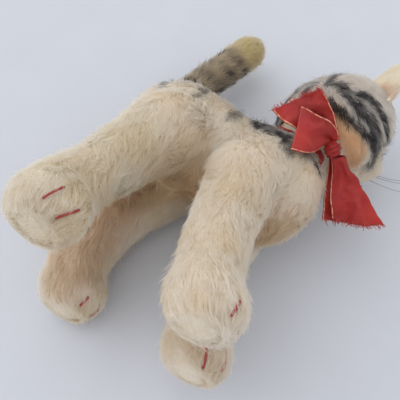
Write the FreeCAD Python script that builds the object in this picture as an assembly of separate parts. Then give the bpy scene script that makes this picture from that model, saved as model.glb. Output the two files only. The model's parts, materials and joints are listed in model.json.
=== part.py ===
import FreeCAD, Part
import os, math
from FreeCAD import Vector as V

# Stuffed mohair cat with a swivelling head, standing on four paws.
# Millimetres. +Z up, the cat's chest faces -Y, the cat's left is +X.
# The origin is on the floor, at the middle of the whole object's footprint box.

# ---------------------------------------------------------------- dimensions
FOOTPRINT_CENTRE = (0.42002, -20.56893)      # middle of the footprint box, measured from the point between the shoulders and hips

PILE_AND_CLOTH = 3.6               # mohair backing cloth with its pile
NECK_CLOTH = 1.4                   # gathered cloth at the neck joint, pile trimmed
SOLE_CLOTH = 1.4                   # cloth under a paw, pile pressed flat
FILL_GAP = 0.2                     # between the cloth and the stuffing

# torso: elliptical sections along the back (y, centre z, half width, half height)
TORSO = [(-48.6, 82.9, 5.6, 6.4), (-46.5, 82.9, 12.2, 13.6), (-42.0, 82.9, 18.2, 19.8), (-35.5, 82.9, 22.4, 24.3),
         (-28.4, 83.0, 23.6, 25.6), (-19.0, 84.2, 22.6, 24.4), (-8.0, 86.2, 21.6, 22.6), (4.5, 88.0, 22.8, 23.4),
         (14.0, 89.0, 24.6, 25.8), (22.0, 89.2, 25.4, 26.9), (31.0, 89.2, 23.8, 25.2), (38.5, 89.2, 19.0, 20.0),
         (43.8, 89.2, 12.4, 13.0), (46.3, 89.2, 5.6, 6.0)]

# front leg: shoulder, ankle, paw (x, y, z, radius), then the paw pad
F_SHOULDER = (13.9, -19.1, 70.1, 14.7)
F_ANKLE = (17.4, -24.4, 34.1, 11.5)
F_PAW = (19.9, -29.9, 13.7, 11.7)
F_PAD = (19.9, -32.9, 10.6, 12.9, 13.4, 12.2)
# rear leg: hip, knee, hock, paw
R_HIP = (16.9, 19.2, 73.8, 17.4)
R_KNEE = (17.2, 27.7, 46.2, 12.3)
R_HOCK = (23.6, 30.7, 21.4, 12.0)
R_PAW = (28.5, 29.0, 13.2, 12.2)
R_PAD = (28.5, 26.0, 10.9, 12.6, 13.8, 12.5)

# neck joint: a point on the joint plane and the middle of the head
NECK = (0.38, -29.65, 104.01)
HEAD = (-4.93, -40.71, 130.96)
NECK_R = 14.5
HEAD_R = (28.0, 24.4, 26.4)        # half width, half length, half height
HEAD_TURN = 48.0                   # the head looks over the cat's left shoulder at rest
MUZZLE = (8.0, -20.0, -7.0, 10.0, 10.0, 8.0)
JOINT_GAP = 0.3                    # from the joint plane to each cloth face

DISC_R, DISC_T = 12.0, 2.0         # card joint discs
WASHER_R, WASHER_T = 6.5, 0.8      # steel washers
PIN_R, PIN_HOLE_R = 1.30, 1.36     # cotter pin shank and the holes it runs in

# tail
TAIL_ROOT = (-0.4, 33.4, 113.0)
TAIL_TIP = (-6.8, 18.6, 162.1)
TAIL_R = (8.3, 8.6)
TAIL_BACK, TAIL_FORWARD = 20.0, 8.0    # how far the seam lets it bend, degrees
TAIL_GAP = 0.35

EYE_R, EYE_H = 4.3, 2.5
THREAD_R = 0.55                    # claw floss
RIBBON_T = 1.2                     # ribbon strap thickness in this model

# ---------------------------------------------------------------- helpers
def vec(t):
    return V(t[0], t[1], t[2])

def unit(v):
    return V(v).multiply(1.0 / v.Length)

def mat_local(origin, turn_deg):
    m = FreeCAD.Matrix()
    m.rotateZ(math.radians(turn_deg))
    m.move(origin)
    return m

def ellipsoid(c, r):
    s = Part.makeSphere(1.0)
    m = FreeCAD.Matrix()
    m.scale(r[0], r[1], r[2])
    s = s.transformGeometry(m)
    s.translate(V(*c))
    return s

def ring(c, d, r):
    return Part.Wire([Part.makeCircle(r, V(c), unit(V(d)))])

def limb(stations, grow):
    """A stuffed tube: balls at the (x, y, z, r) stations, joined by cones a hair slimmer than the balls."""
    out = []
    for i, st in enumerate(stations):
        out.append(Part.makeSphere(st[3] + grow, V(st[0], st[1], st[2])))
        if i:
            a, b = stations[i - 1], st
            pa, pb = V(a[0], a[1], a[2]), V(b[0], b[1], b[2])
            d = pb.sub(pa)
            ra, rb = (a[3] + grow) * 0.988, (b[3] + grow) * 0.988
            if abs(ra - rb) < 1e-6:
                out.append(Part.makeCylinder(ra, d.Length, pa, d))
            else:
                out.append(Part.makeCone(ra, rb, d.Length, pa, d))
    return out

def lerp(a, b, t):
    return tuple(a[i] + (b[i] - a[i]) * t for i in range(len(a)))

def round_cone(a, b, ra, rb, squash=1.0):
    """Solid from a to b, with a domed end at b and a flatter dome at a."""
    a, b = V(*a), V(*b)
    d = b.sub(a)
    body = Part.makeCone(ra, rb, d.Length, a, d)
    dome = Part.makeSphere(rb * 1.004, b)
    foot = ellipsoid((0, 0, 0), (ra * 1.004, ra * 1.004, ra * squash))
    foot.Placement = FreeCAD.Placement(a, FreeCAD.Rotation(V(0, 0, 1), d))
    return biggest(body.fuse([dome, foot]))

def spline(pts, t0, t1):
    c = Part.BSplineCurve()
    c.interpolate(Points=pts, InitialTangent=t0, FinalTangent=t1)
    return c.toShape()

def fused(shapes):
    s = shapes[0]
    if len(shapes) > 1:
        s = s.fuse(shapes[1:])
    return s

def biggest(shape):
    return max(shape.Solids, key=lambda s: abs(s.Volume))

def keep_solids(shape, least=0.5):
    ss = [s for s in shape.Solids if abs(s.Volume) > least]
    return ss[0] if len(ss) == 1 else Part.makeCompound(ss)

def strap(stations, thick):
    """A flat band through (left point, right point) stations, thickness across the band."""
    wires = []
    n = len(stations)
    mids = [V(s[0]).add(s[1]).multiply(0.5) for s in stations]
    for i, (l, r) in enumerate(stations):
        along = mids[min(i + 1, n - 1)].sub(mids[max(i - 1, 0)])
        across = V(r).sub(l)
        nrm = unit(along.cross(across)).multiply(thick * 0.5)
        c = [V(l).add(nrm), V(r).add(nrm), V(r).sub(nrm), V(l).sub(nrm)]
        wires.append(Part.makePolygon(c + [c[0]]))
    return Part.makeLoft(wires, True, True)

def rod(points, r):
    """Round thread through points, with flat ends."""
    if len(points) == 2:
        d = V(points[1]).sub(points[0])
        return Part.makeCylinder(r, d.Length, V(points[0]), d)
    c = Part.BSplineCurve()
    c.interpolate([V(p) for p in points])
    path = Part.Wire([c.toShape()])
    d = c.tangent(c.FirstParameter)[0]
    prof = Part.Wire([Part.makeCircle(r, V(points[0]), d)])
    return Part.Wire(path).makePipeShell([prof], True, True)

N = vec(NECK)
H = vec(HEAD)
AX = unit(H.sub(N))                 # neck axis, from the body up into the head
U = unit(V(1, 0, 0).sub(V(AX).multiply(AX.x)))
W = AX.cross(U)

def on_axis(t, u=0.0, w=0.0):
    return V(N).add(V(AX).multiply(t)).add(V(U).multiply(u)).add(V(W).multiply(w))

def axis_cyl(r, t0, t1):
    return Part.makeCylinder(r, t1 - t0, on_axis(t0), AX)

def half_space(t, above):
    """Big block on one side of the plane at height t on the neck axis."""
    s = 400.0
    b = Part.makeBox(s, s, s, V(-s / 2, -s / 2, 0 if above else -s))
    b.Placement = FreeCAD.Placement(on_axis(t), FreeCAD.Rotation(V(0, 0, 1), AX)).multiply(b.Placement)
    return b

HEAD_ROT = FreeCAD.Rotation(V(0, 0, 1), HEAD_TURN)

def hp(x, y, z):
    """Head frame (face towards -y) to the model's frame."""
    return HEAD_ROT.multVec(V(x, y, z)).add(H)

def to_head(shape):
    s = shape.copy()
    s.Placement = FreeCAD.Placement(H, HEAD_ROT).multiply(s.Placement)
    return s

# ---------------------------------------------------------------- body volumes
def torso_shapes(g):
    wires = []
    for (y, zc, rx, rz) in TORSO:
        dy = g if y < -46 or y > 43 else 0.0
        yy = y - dy if y < 0 else y + dy
        c = V(0, yy, zc)
        wires.append(Part.Wire([Part.Ellipse(V(0, yy, zc + rz + g), V(rx + g, yy, zc), c).toShape()]))
    trunk = Part.makeLoft(wires, True, False)
    neck = Part.makeCone(21.0 + g, NECK_R + g, 22.0, on_axis(-19.0), AX)
    return [trunk, neck]

def leg_shapes(g, side):
    f = [(side * st[0],) + tuple(st[1:]) for st in (F_SHOULDER, F_ANKLE, F_PAW)]
    r = [(side * st[0],) + tuple(st[1:]) for st in (R_HIP, R_KNEE, R_HOCK, R_PAW)]
    out = limb(f, g) + limb(r, g)
    for p in (F_PAD, R_PAD):
        out.append(ellipsoid((side * p[0], p[1], p[2]), (p[3] + g, p[4] + g, p[5] + g)))
    return out

def shell_between(outer, inner):
    """The cloth: outer volume less the inner one, which lies wholly inside it."""
    want = outer.Volume - inner.Volume
    got = outer.cut(inner)
    return min(got.Solids, key=lambda q: abs(q.Volume - want))

def body_volume(g, sole, neck_t):
    s = fused(torso_shapes(g) + leg_shapes(g, 1) + leg_shapes(g, -1))
    s = s.cut(Part.makeBox(400, 400, 60, V(-200, -200, -60 + sole)))
    s = s.cut(half_space(neck_t, True))
    return biggest(s)

def head_shapes(g):
    parts = [to_head(ellipsoid((0, 0, 0), tuple(r + g for r in HEAD_R)))]
    for sx in (1, -1):
        cheek = ellipsoid((sx * MUZZLE[0], MUZZLE[1], MUZZLE[2]), tuple(r + g for r in MUZZLE[3:]))
        if sx < 0:
            # seam line on the outside of each cheek, mirrored left to right
            cheek.rotate(V(sx * MUZZLE[0], MUZZLE[1], MUZZLE[2]), V(0, 0, 1), 180)
        parts.append(to_head(cheek))
    reach = 17.0 + g
    parts.append(Part.makeCone(NECK_R + 0.6 + g, NECK_R + 0.6 + g + 7.3 * reach / 17.0, reach, on_axis(-1.0), AX))
    return parts

def head_volume(g, neck_t):
    return biggest(fused(head_shapes(g)).cut(half_space(neck_t, False)))

body_outer = body_volume(0.0, 0.0, -JOINT_GAP)
body_inner = body_volume(-PILE_AND_CLOTH, SOLE_CLOTH, -JOINT_GAP - NECK_CLOTH)
body_fill = body_volume(-PILE_AND_CLOTH - FILL_GAP, SOLE_CLOTH + FILL_GAP, -JOINT_GAP - NECK_CLOTH - FILL_GAP)
head_outer = head_volume(0.0, JOINT_GAP)
head_inner = head_volume(-PILE_AND_CLOTH, JOINT_GAP + NECK_CLOTH)
head_fill = head_volume(-PILE_AND_CLOTH - FILL_GAP, JOINT_GAP + NECK_CLOTH + FILL_GAP)

nodes = {}

# ---------------------------------------------------------------- neck joint hardware
t0 = JOINT_GAP + NECK_CLOTH         # inner face of the gathered cloth
disc0 = t0 + 1.0                    # the gathering thread lies in this 1 mm
wash0 = disc0 + DISC_T + 0.1

def disc(r, t_lo, t_hi, hole):
    return axis_cyl(r, t_lo, t_hi).cut(axis_cyl(hole, t_lo - 1, t_hi + 1))

nodes["body_joint_disc"] = disc(DISC_R, -disc0 - DISC_T, -disc0, PIN_HOLE_R)
nodes["head_joint_disc"] = disc(DISC_R, disc0, disc0 + DISC_T, PIN_HOLE_R)
nodes["body_joint_washer"] = disc(WASHER_R, -wash0 - WASHER_T, -wash0, PIN_HOLE_R)
nodes["head_joint_washer"] = disc(WASHER_R, wash0, wash0 + WASHER_T, PIN_HOLE_R)
end_t = wash0 + WASHER_T

# cotter pin: an eye above the head washer, two legs curled back under the body washer
def torus(center, normal, R, r, ang=360.0, start=None):
    prof = Part.Face(Part.Wire([Part.makeCircle(r, V(center).add(V(start).multiply(R)), unit(V(normal).cross(start)))]))
    return prof.revolve(V(center), V(normal), ang)

pin = axis_cyl(PIN_R, -end_t - 1.2, end_t + 1.2)
EYE_T = end_t + 3.1
pin_eye = torus(on_axis(EYE_T), W, 2.1, 0.85, 360.0, U)
legs = []
for s in (1, -1):
    c = on_axis(-end_t - 0.95, s * 2.75)
    st = V(U).multiply(-s)
    legs.append(torus(c, V(W).multiply(-s), 2.0, 0.62, 172.0, st))
pin_all = fused([pin, pin_eye] + legs)
nodes["cotter_pin"] = biggest(pin_all)

thread_ring_t = t0 + 0.5
nodes["body_gather_thread"] = torus(on_axis(-thread_ring_t), AX, 3.2, 0.35, 360.0, U)
nodes["head_gather_thread"] = torus(on_axis(thread_ring_t), AX, 3.2, 0.35, 360.0, U)

# ---------------------------------------------------------------- tail
TR, TT = vec(TAIL_ROOT), vec(TAIL_TIP)
def tail_solid(g, squash):
    d = unit(TT.sub(TR))
    a = V(TR)
    b = V(TT)
    return round_cone((a.x, a.y, a.z), (b.x, b.y, b.z), TAIL_R[0] + g, TAIL_R[1] + g, squash)

ROOT_SQUASH = 0.45
tail_outer = tail_solid(0.0, ROOT_SQUASH)
tail_inner = tail_solid(-2.8, ROOT_SQUASH)
tail_fill = tail_solid(-2.8 - FILL_GAP, ROOT_SQUASH)
nodes["tail_cover"] = shell_between(tail_outer, tail_inner)
nodes["tail_stuffing"] = tail_fill

pockets = []
steps = 8
for i in range(steps):
    ang = -TAIL_FORWARD + (TAIL_BACK + TAIL_FORWARD) * i / (steps - 1.0)
    s = tail_solid(TAIL_GAP, ROOT_SQUASH)
    s.rotate(TR, V(-1, 0, 0), ang)
    pockets.append(s)

# ---------------------------------------------------------------- body cover and stuffing
pin_hole = axis_cyl(1.7, -8, 8)
cover = shell_between(body_outer, body_inner).cut(pin_hole)
for p in pockets:
    cover = cover.cut(p)
body_cover = cover

fill = body_fill
fill = fill.cut(axis_cyl(DISC_R + 0.3, -disc0 - DISC_T - 0.15, 2))
fill = fill.cut(axis_cyl(WASHER_R + 0.3, -end_t - 0.3, 2))
fill = fill.cut(axis_cyl(6.2, -end_t - 4.2, 2))
pocket_grow = []
for i in (0, 3, 7):
    ang = -TAIL_FORWARD + (TAIL_BACK + TAIL_FORWARD) * i / 7.0
    s = tail_solid(TAIL_GAP + 0.3, ROOT_SQUASH)
    s.rotate(TR, V(-1, 0, 0), ang)
    pocket_grow.append(s)
for p in pocket_grow:
    fill = fill.cut(p)
nodes["body_stuffing"] = biggest(fill)

# ---------------------------------------------------------------- claws
# Two floss stitches on each paw, over the toe from near the sole upwards.
CLAWS = {
    "front_right": (-1, F_PAD, (41.0, 2.0)),
    "front_left": (1, F_PAD, (68.0, 30.0)),
    "rear_right": (-1, R_PAD, (74.0, 32.0)),
    "rear_left": (1, R_PAD, (36.0, -4.0)),
}
def claw_points(side, pad, az, lift, z_lo, z_hi, n=5):
    """Points on the pad's surface; az turns from the toe direction towards the cat's right."""
    cx, cy, cz, rx, ry, rz = side * pad[0], pad[1], pad[2], pad[3] + lift, pad[4] + lift, pad[5] + lift
    a = math.radians(az)
    dx, dy = -math.sin(a), -math.cos(a)
    out = []
    for i in range(n):
        z = z_lo + (z_hi - z_lo) * i / (n - 1.0)
        k = math.sqrt(max(1.0 - ((z - cz) / rz) ** 2, 0.0))
        s = k / math.sqrt((dx / rx) ** 2 + (dy / ry) ** 2)
        out.append(V(cx + dx * s, cy + dy * s, z))
    return out

claw_cutters = []
for name, (side, pad, azs) in CLAWS.items():
    group = []
    for az in azs:
        group.append(rod(claw_points(side, pad, az, THREAD_R - 0.1, 4.0, 14.5), THREAD_R))
        claw_cutters.append(rod(claw_points(side, pad, az, THREAD_R - 0.1, 3.8, 14.7), THREAD_R + 0.12))
    nodes["claws_" + name] = Part.makeCompound(group)
for c in claw_cutters:
    body_cover = body_cover.cut(c)
nodes["body_cover"] = keep_solids(body_cover)

# closing stitches on the belly, a row of ladder stitches
stitches = []
for i in range(7):
    y = -14.0 + 5.0 * i
    # belly surface height between the sections
    best = 200.0
    for k in range(len(TORSO) - 1):
        (y0, z0, w0, h0), (y1, z1, w1, h1) = TORSO[k], TORSO[k + 1]
        if y0 <= y <= y1:
            f = (y - y0) / (y1 - y0)
            best = (z0 - h0) + ((z1 - h1) - (z0 - h0)) * f
    stitches.append(rod([V(-1.6, y, best - 0.75), V(1.6, y + 0.6, best - 0.75)], 0.3))
nodes["closing_stitches"] = Part.makeCompound(stitches)

# ---------------------------------------------------------------- head: ears, eyes, face, whiskers
def head_surf(x, z, front=True, grow=0.0):
    """y on the head ball at (x, z) in the head frame."""
    rx, ry, rz = (r + grow for r in HEAD_R)
    q = max(1.0 - (x / rx) ** 2 - (z / rz) ** 2, 0.0)
    y = ry * math.sqrt(q)
    return -y if front else y

def ear_plate(side, y0, y1, shrink):
    """Rounded triangle between a wide base circle and a small tip circle, y0 to y1 thick."""
    c0, r0 = (18.5, 15.0), 12.5 - shrink
    c1, r1 = (23.5, 37.6), 3.2 - shrink * 0.5
    pts = []
    dx, dz = c1[0] - c0[0], c1[1] - c0[1]
    L = math.hypot(dx, dz)
    phi = math.atan2(dz, dx)
    beta = math.acos((r0 - r1) / L)
    a0, a1 = phi + beta, phi - beta + 2 * math.pi
    for i in range(25):
        t = a0 + (a1 - a0) * i / 24.0
        pts.append((c0[0] + r0 * math.cos(t), c0[1] + r0 * math.sin(t)))
    b0, b1 = phi - beta, phi + beta
    for i in range(9):
        t = b0 + (b1 - b0) * i / 8.0
        pts.append((c1[0] + r1 * math.cos(t), c1[1] + r1 * math.sin(t)))
    w = Part.makePolygon([V(side * p[0], y0, p[1]) for p in pts] + [V(side * pts[0][0], y0, pts[0][1])])
    return Part.Face(w).extrude(V(0, y1 - y0, 0))

head_clear = head_volume(0.2, JOINT_GAP - 0.2)
for side, nm in ((1, "left"), (-1, "right")):
    back = to_head(ear_plate(side, 1.2, 4.6, 0.0)).cut(head_clear)
    lining = to_head(ear_plate(side, -2.4, 1.0, 0.8)).cut(head_clear)
    nodes["ear_" + nm] = biggest(back)
    nodes["ear_lining_" + nm] = biggest(lining)

hcover = head_outer
for hollow in head_shapes(-PILE_AND_CLOTH):
    hcover = hcover.cut(hollow.cut(half_space(JOINT_GAP + NECK_CLOTH, False)))
hcover = min(hcover.Solids, key=lambda q: abs(q.Volume - (head_outer.Volume - head_inner.Volume))).cut(pin_hole)
hfill = head_fill.cut(axis_cyl(DISC_R + 0.3, -2, disc0 + DISC_T + 0.15))
hfill = hfill.cut(axis_cyl(WASHER_R + 0.3, -2, end_t + 0.3))
hfill = hfill.cut(axis_cyl(3.6, -2, end_t + 6.6))

EX, EZ = 11.2, 4.5
for side, nm in ((1, "left"), (-1, "right")):
    ys = head_surf(EX, EZ)
    n = V(side * EX / HEAD_R[0] ** 2, ys / HEAD_R[1] ** 2, EZ / HEAD_R[2] ** 2)
    n = unit(n)
    c = V(side * EX, ys, EZ)
    def lens(g, c=c, n=n):
        e = ellipsoid((0, 0, 0), (EYE_R + g, EYE_R + g, EYE_H + g))
        e.Placement = FreeCAD.Placement(V(c), FreeCAD.Rotation(V(0, 0, 1), n))
        return to_head(e)
    nodes["eye_" + nm] = lens(0.0)
    back_end = V(c).sub(V(n).multiply(EYE_H + 0.1))
    loop_c = V(c).sub(V(n).multiply(EYE_H + 7.0))
    side_dir = unit(n.cross(V(0, 0, 1)))
    shank = Part.makeCylinder(0.42, 5.4, back_end, V(n).multiply(-1))
    loop = Part.Face(Part.Wire([Part.makeCircle(0.42, V(loop_c).add(V(n).multiply(1.4)), side_dir)])).revolve(loop_c, unit(n.cross(side_dir)), 360)
    wire = shank.fuse(loop)
    nodes["eye_wire_" + nm] = to_head(biggest(wire))
    hole = to_head(Part.makeCylinder(0.65, 12.0, V(c), V(n).multiply(-1)))
    room = to_head(Part.makeCylinder(2.3, 4.3, V(c).sub(V(n).multiply(EYE_H + 4.85)), V(n).multiply(-1)))
    hcover = hcover.cut(lens(0.15)).cut(hole)
    hfill = hfill.cut(lens(0.3)).cut(hole).cut(room)

# nose: a padded triangle of satin stitches between the cheeks; mouth: two curved stitches
nose_y = -30.6
nose = Part.Face(Part.makePolygon([V(-3.4, nose_y, -1.2), V(3.4, nose_y, -1.2), V(0.9, nose_y, -5.2), V(-0.9, nose_y, -5.2), V(-3.4, nose_y, -1.2)])).extrude(V(0, 2.2, 0))
nose = to_head(nose)
mouth = [rod([V(0, -30.2, -5.6), V(0, -30.0, -8.4)], 0.45)]
for sx in (1, -1):
    mouth.append(rod([V(sx * 0.75, -30.1, -8.7), V(sx * 3.2, -30.4, -11.0), V(sx * 5.8, -29.6, -10.6)], 0.45))
mouth = to_head(Part.makeCompound(mouth))
nose_room = to_head(Part.makeBox(7.4, 3.0, 4.6, V(-3.7, nose_y - 0.4, -5.5)))
hcover = hcover.cut(nose_room)
mouth_room = [rod([V(0, -30.2, -5.4), V(0, -30.0, -8.7)], 0.6)]
for sx in (1, -1):
    mouth_room.append(rod([V(sx * 0.5, -30.05, -8.4), V(sx * 3.2, -30.4, -11.0), V(sx * 6.1, -29.5, -10.5)], 0.62))
for m in mouth_room:
    hcover = hcover.cut(to_head(m))
nodes["nose_stitching"] = nose
nodes["mouth_stitching"] = mouth

# whiskers: three stiff threads a side, their tips inside the tail's clearance
WH = {
    1: [((10.0, -29.2, -4.0), (19.0, -36.0, -2.0), (29.5, -37.0, -1.5)),
        ((11.5, -28.6, -6.5), (21.0, -34.0, -6.5), (31.0, -34.0, -8.0)),
        ((10.5, -28.8, -9.0), (19.0, -34.5, -10.5), (27.5, -35.5, -13.5))],
}
for side, nm in ((1, "left"), (-1, "right")):
    hairs = []
    for pts in WH[1]:
        q = [hp(side * p[0], p[1], p[2]) for p in pts]
        hairs.append(rod(q, 0.25))
        hcover = hcover.cut(rod([q[0].add(q[0].sub(q[1]).multiply(0.4)), V(q[0]), V(q[1])], 0.4) if False else rod([V(q[0]).sub(unit(V(q[1]).sub(q[0])).multiply(0.3)), V(q[0]).add(unit(V(q[1]).sub(q[0])).multiply(3.0))], 0.55))
    nodes["whiskers_" + nm] = Part.makeCompound(hairs)

nodes["head_cover"] = keep_solids(hcover)
nodes["head_stuffing"] = biggest(hfill)

# ---------------------------------------------------------------- ribbon
# One ribbon, tied round the neck below the joint plane, with its bow on the cat's right.
def slab(pts, thick):
    """Flat cloth panel: the polygon is laid in the plane of its first three corners."""
    p = [V(*q) for q in pts]
    n = unit(p[1].sub(p[0]).cross(p[2].sub(p[0])))
    flat = [q.sub(V(n).multiply(n.dot(q.sub(p[0])))) for q in p]
    flat = [q.sub(V(n).multiply(thick * 0.5)) for q in flat]
    return Part.Face(Part.makePolygon(flat + [flat[0]])).extrude(V(n).multiply(thick))

BAND_T, BAND_R = 1.9, 20.6
band = axis_cyl(BAND_R + 1.7, BAND_T - 1.5, BAND_T + 1.5).cut(axis_cyl(BAND_R - 1.6, BAND_T - 3.0, BAND_T + 3.0))
KNOT = V(-18.2, -46.0, 101.0)
knot = Part.makeSphere(4.6, KNOT)
kt = AX.dot(KNOT.sub(N))
kd = unit(KNOT.sub(on_axis(kt)))
tie = Part.makeSphere(3.4, on_axis(3.4).add(V(kd).multiply(21.8)))
lower_tail = slab([(-15.5, -46.5, 99.8), (-16.8, -51.5, 101.3), (-3.0, -77.0, 87.0), (3.6, -55.0, 83.2)], 2.4)
upper_tail = slab([(-17.9, -40.2, 102.2), (-22.8, -16.2, 103.9), (-35.6, -31.8, 113.9), (-21.4, -47.6, 104.9)], RIBBON_T)
front_loop = slab([(-28.6, -27.9, 106.6), (-26.8, -33.0, 83.5), (-19.8, -44.9, 99.2), (-20.9, -45.4, 102.4)], 1.8)
ring_zone = axis_cyl(BAND_R + 1.76, BAND_T - 1.56, BAND_T + 1.56).cut(axis_cyl(BAND_R - 1.66, BAND_T - 3.0, BAND_T + 3.0))
tie = biggest(tie.cut(Part.makeSphere(4.66, KNOT)).cut(axis_cyl(BAND_R + 1.76, BAND_T - 6.0, BAND_T + 8.0)))
knot = biggest(knot.cut(axis_cyl(BAND_R + 1.76, BAND_T - 6.0, BAND_T + 8.0)))
near = Part.makeSphere(4.66, KNOT).fuse(Part.makeSphere(3.46, on_axis(3.4).add(V(kd).multiply(21.8)))).fuse(ring_zone)
panels = [biggest(q.cut(near)) for q in (lower_tail, upper_tail, front_loop)]
nodes["neck_ribbon"] = Part.makeCompound([band, tie, knot] + panels)

# ---------------------------------------------------------------- output
os.makedirs("parts", exist_ok=True)
move = V(-FOOTPRINT_CENTRE[0], -FOOTPRINT_CENTRE[1], 0.0)
box = None
for name in sorted(nodes):
    s = nodes[name].copy()
    s.translate(move)
    s.exportStep("parts/" + name + ".step")
    b = s.BoundBox
    if box is None:
        box = FreeCAD.BoundBox(b)
    else:
        box.add(b)
    print("%-22s solids %d valid %s vol %9.2f  x %7.2f %7.2f y %7.2f %7.2f z %7.2f %7.2f" % (
        name, len(s.Solids), s.isValid(), s.Volume, b.XMin, b.XMax, b.YMin, b.YMax, b.ZMin, b.ZMax))
whole = Part.makeCompound([n for n in nodes.values()]).optimalBoundingBox(False, False)
print("whole x %.4f %.4f y %.4f %.4f z %.4f %.4f" % (whole.XMin, whole.XMax, whole.YMin, whole.YMax, whole.ZMin, whole.ZMax))
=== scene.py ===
import json
import math
import bpy
import numpy as np
from mathutils import Matrix, Vector
from mathutils.kdtree import KDTree


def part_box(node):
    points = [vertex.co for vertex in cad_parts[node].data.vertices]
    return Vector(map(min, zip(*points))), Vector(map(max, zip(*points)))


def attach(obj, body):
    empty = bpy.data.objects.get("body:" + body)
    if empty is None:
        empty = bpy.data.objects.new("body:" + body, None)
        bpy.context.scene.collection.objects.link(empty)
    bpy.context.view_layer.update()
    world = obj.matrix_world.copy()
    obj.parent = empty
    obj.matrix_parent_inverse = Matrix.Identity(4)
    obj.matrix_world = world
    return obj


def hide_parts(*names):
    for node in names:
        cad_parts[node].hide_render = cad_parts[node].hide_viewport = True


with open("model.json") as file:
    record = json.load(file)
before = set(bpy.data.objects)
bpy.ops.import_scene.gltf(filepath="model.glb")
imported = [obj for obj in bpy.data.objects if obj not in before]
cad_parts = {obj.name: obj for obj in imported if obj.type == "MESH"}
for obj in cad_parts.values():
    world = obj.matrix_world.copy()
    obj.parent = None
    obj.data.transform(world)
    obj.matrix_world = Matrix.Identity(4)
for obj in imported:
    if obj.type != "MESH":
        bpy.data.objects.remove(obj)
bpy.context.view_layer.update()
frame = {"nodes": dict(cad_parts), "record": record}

# Looks of the stuffed mohair cat. Work is done in millimetres in the cat's own axes (the point on
# the floor under the middle of the torso is zero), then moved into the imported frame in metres.

rng = np.random.default_rng(11)
A = lambda *v: np.array(v, float)

NECK = A(0.38, -29.65, 104.01)
joints = {j["name"]: j for j in frame["record"]["behaviour"]["joints"]}
SHIFT = np.array(joints["neck_swivel"]["pos_m"], float) * 1000.0 - NECK


def to_m(p):
    """millimetres in the cat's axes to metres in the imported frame"""
    return (np.asarray(p, float) + SHIFT) / 1000.0


HEAD = A(-4.93, -40.71, 130.96)
TURN = math.radians(48.0)
RH = np.array([[math.cos(TURN), -math.sin(TURN), 0], [math.sin(TURN), math.cos(TURN), 0], [0, 0, 1]])


def hp(p):
    """head coordinates (face towards -y) to the cat's axes"""
    return np.asarray(p, float) @ RH.T + HEAD


def to_head(p):
    return (np.asarray(p, float) - HEAD) @ RH


def unit(v):
    v = np.asarray(v, float)
    return v / np.maximum(np.linalg.norm(v, axis=-1, keepdims=True), 1e-9)


AXIS = unit(HEAD - NECK)

# ------------------------------------------------------------------ distance fields, mm


def cone(p, a, b, ra, rb):
    a, b = np.asarray(a, np.float32), np.asarray(b, np.float32)
    ba = b - a
    t = np.clip(((p - a) @ ba) / float(ba @ ba), 0, 1)
    return np.linalg.norm(p - (a + t[..., None] * ba), axis=-1) - (ra + (rb - ra) * t)


def ell(p, c, r):
    q = p - np.asarray(c, np.float32)
    r = np.asarray(r, np.float32)
    k0 = np.linalg.norm(q / r, axis=-1)
    k1 = np.linalg.norm(q / (r * r), axis=-1)
    return k0 * (k0 - 1.0) / np.maximum(k1, 1e-6)


def smin(a, b, k):
    h = np.maximum(k - np.abs(a - b), 0) / k
    return np.minimum(a, b) - h * h * h * k / 6.0


def smax(a, b, k):
    return -smin(-a, -b, k)


F_PAD, F_PAD_R = (19.9, -32.9, 10.6), (12.9, 13.4, 12.2)
R_PAD, R_PAD_R = (28.5, 26.0, 10.9), (12.6, 13.8, 12.5)


def front_leg(q):
    d = cone(q, (13.88, -19.05, 70.14), (17.36, -24.41, 34.10), 14.7, 11.47)
    d = smin(d, cone(q, (17.36, -24.41, 34.10), (19.89, -29.86, 13.68), 11.47, 11.7), 4)
    return smin(d, ell(q, F_PAD, F_PAD_R), 5)


def rear_leg(q):
    d = cone(q, (16.93, 19.17, 73.85), (17.18, 27.71, 46.20), 17.44, 12.3)
    d = smin(d, cone(q, (17.18, 27.71, 46.20), (23.65, 30.67, 21.39), 12.3, 12.0), 6)
    d = smin(d, cone(q, (23.65, 30.67, 21.39), (28.53, 29.54, 13.19), 12.0, 12.2), 4)
    return smin(d, ell(q, R_PAD, R_PAD_R), 5)


def torso(p):
    t = smin(ell(p, (0, 21.3, 89.15), (25.47, 25.7, 27.04)), ell(p, (0, 4.53, 87.73), (22.74, 27.61, 22.98)), 10)
    t = smin(t, ell(p, (0, -28.43, 82.92), (23.72, 21.3, 25.73)), 10)
    return smin(t, cone(p, (0, -20, 92), NECK, 20, 14.7), 8)


def body_env(p):
    """outside of the body's pile"""
    q = p.copy()
    q[..., 0] = np.abs(q[..., 0])
    return smin(smin(torso(p), front_leg(q), 9), rear_leg(q), 9)


def head_ball(q):
    q = q.copy()
    q[..., 0] = np.abs(q[..., 0])
    t = ell(q, (0, 0, 0), (28.0, 24.4, 26.4))
    t = smin(t, ell(q, (8, -20, -7), (10, 10, 8)), 5)
    t = smin(t, ell(q, (0, -20.6, -3.2), (5.5, 9.4, 6.5)), 4)
    return smin(t, ell(q, (0, -17.5, -13.5), (7.5, 8.6, 6.0)), 4)


def head_env(p):
    return smin(head_ball((p - HEAD.astype(np.float32)) @ RH), cone(p, NECK, HEAD, 14.5, 14.5), 6)


TAIL_A, TAIL_B = A(-0.4, 33.4, 113.0), A(-6.8, 18.6, 162.1)
TDIR = unit(TAIL_B - TAIL_A)


def tail_env(p):
    d = cone(p, TAIL_A, TAIL_B, 8.3, 8.6)
    # the root is a flattened dome
    s = (p - TAIL_A) @ TDIR
    q = p - TAIL_A - np.minimum(s, 0)[..., None] * TDIR + (np.minimum(s, 0) / 0.45)[..., None] * TDIR
    return np.where(s < 0, (np.linalg.norm(q, axis=-1) - 8.3) * 0.6, d)


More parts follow.
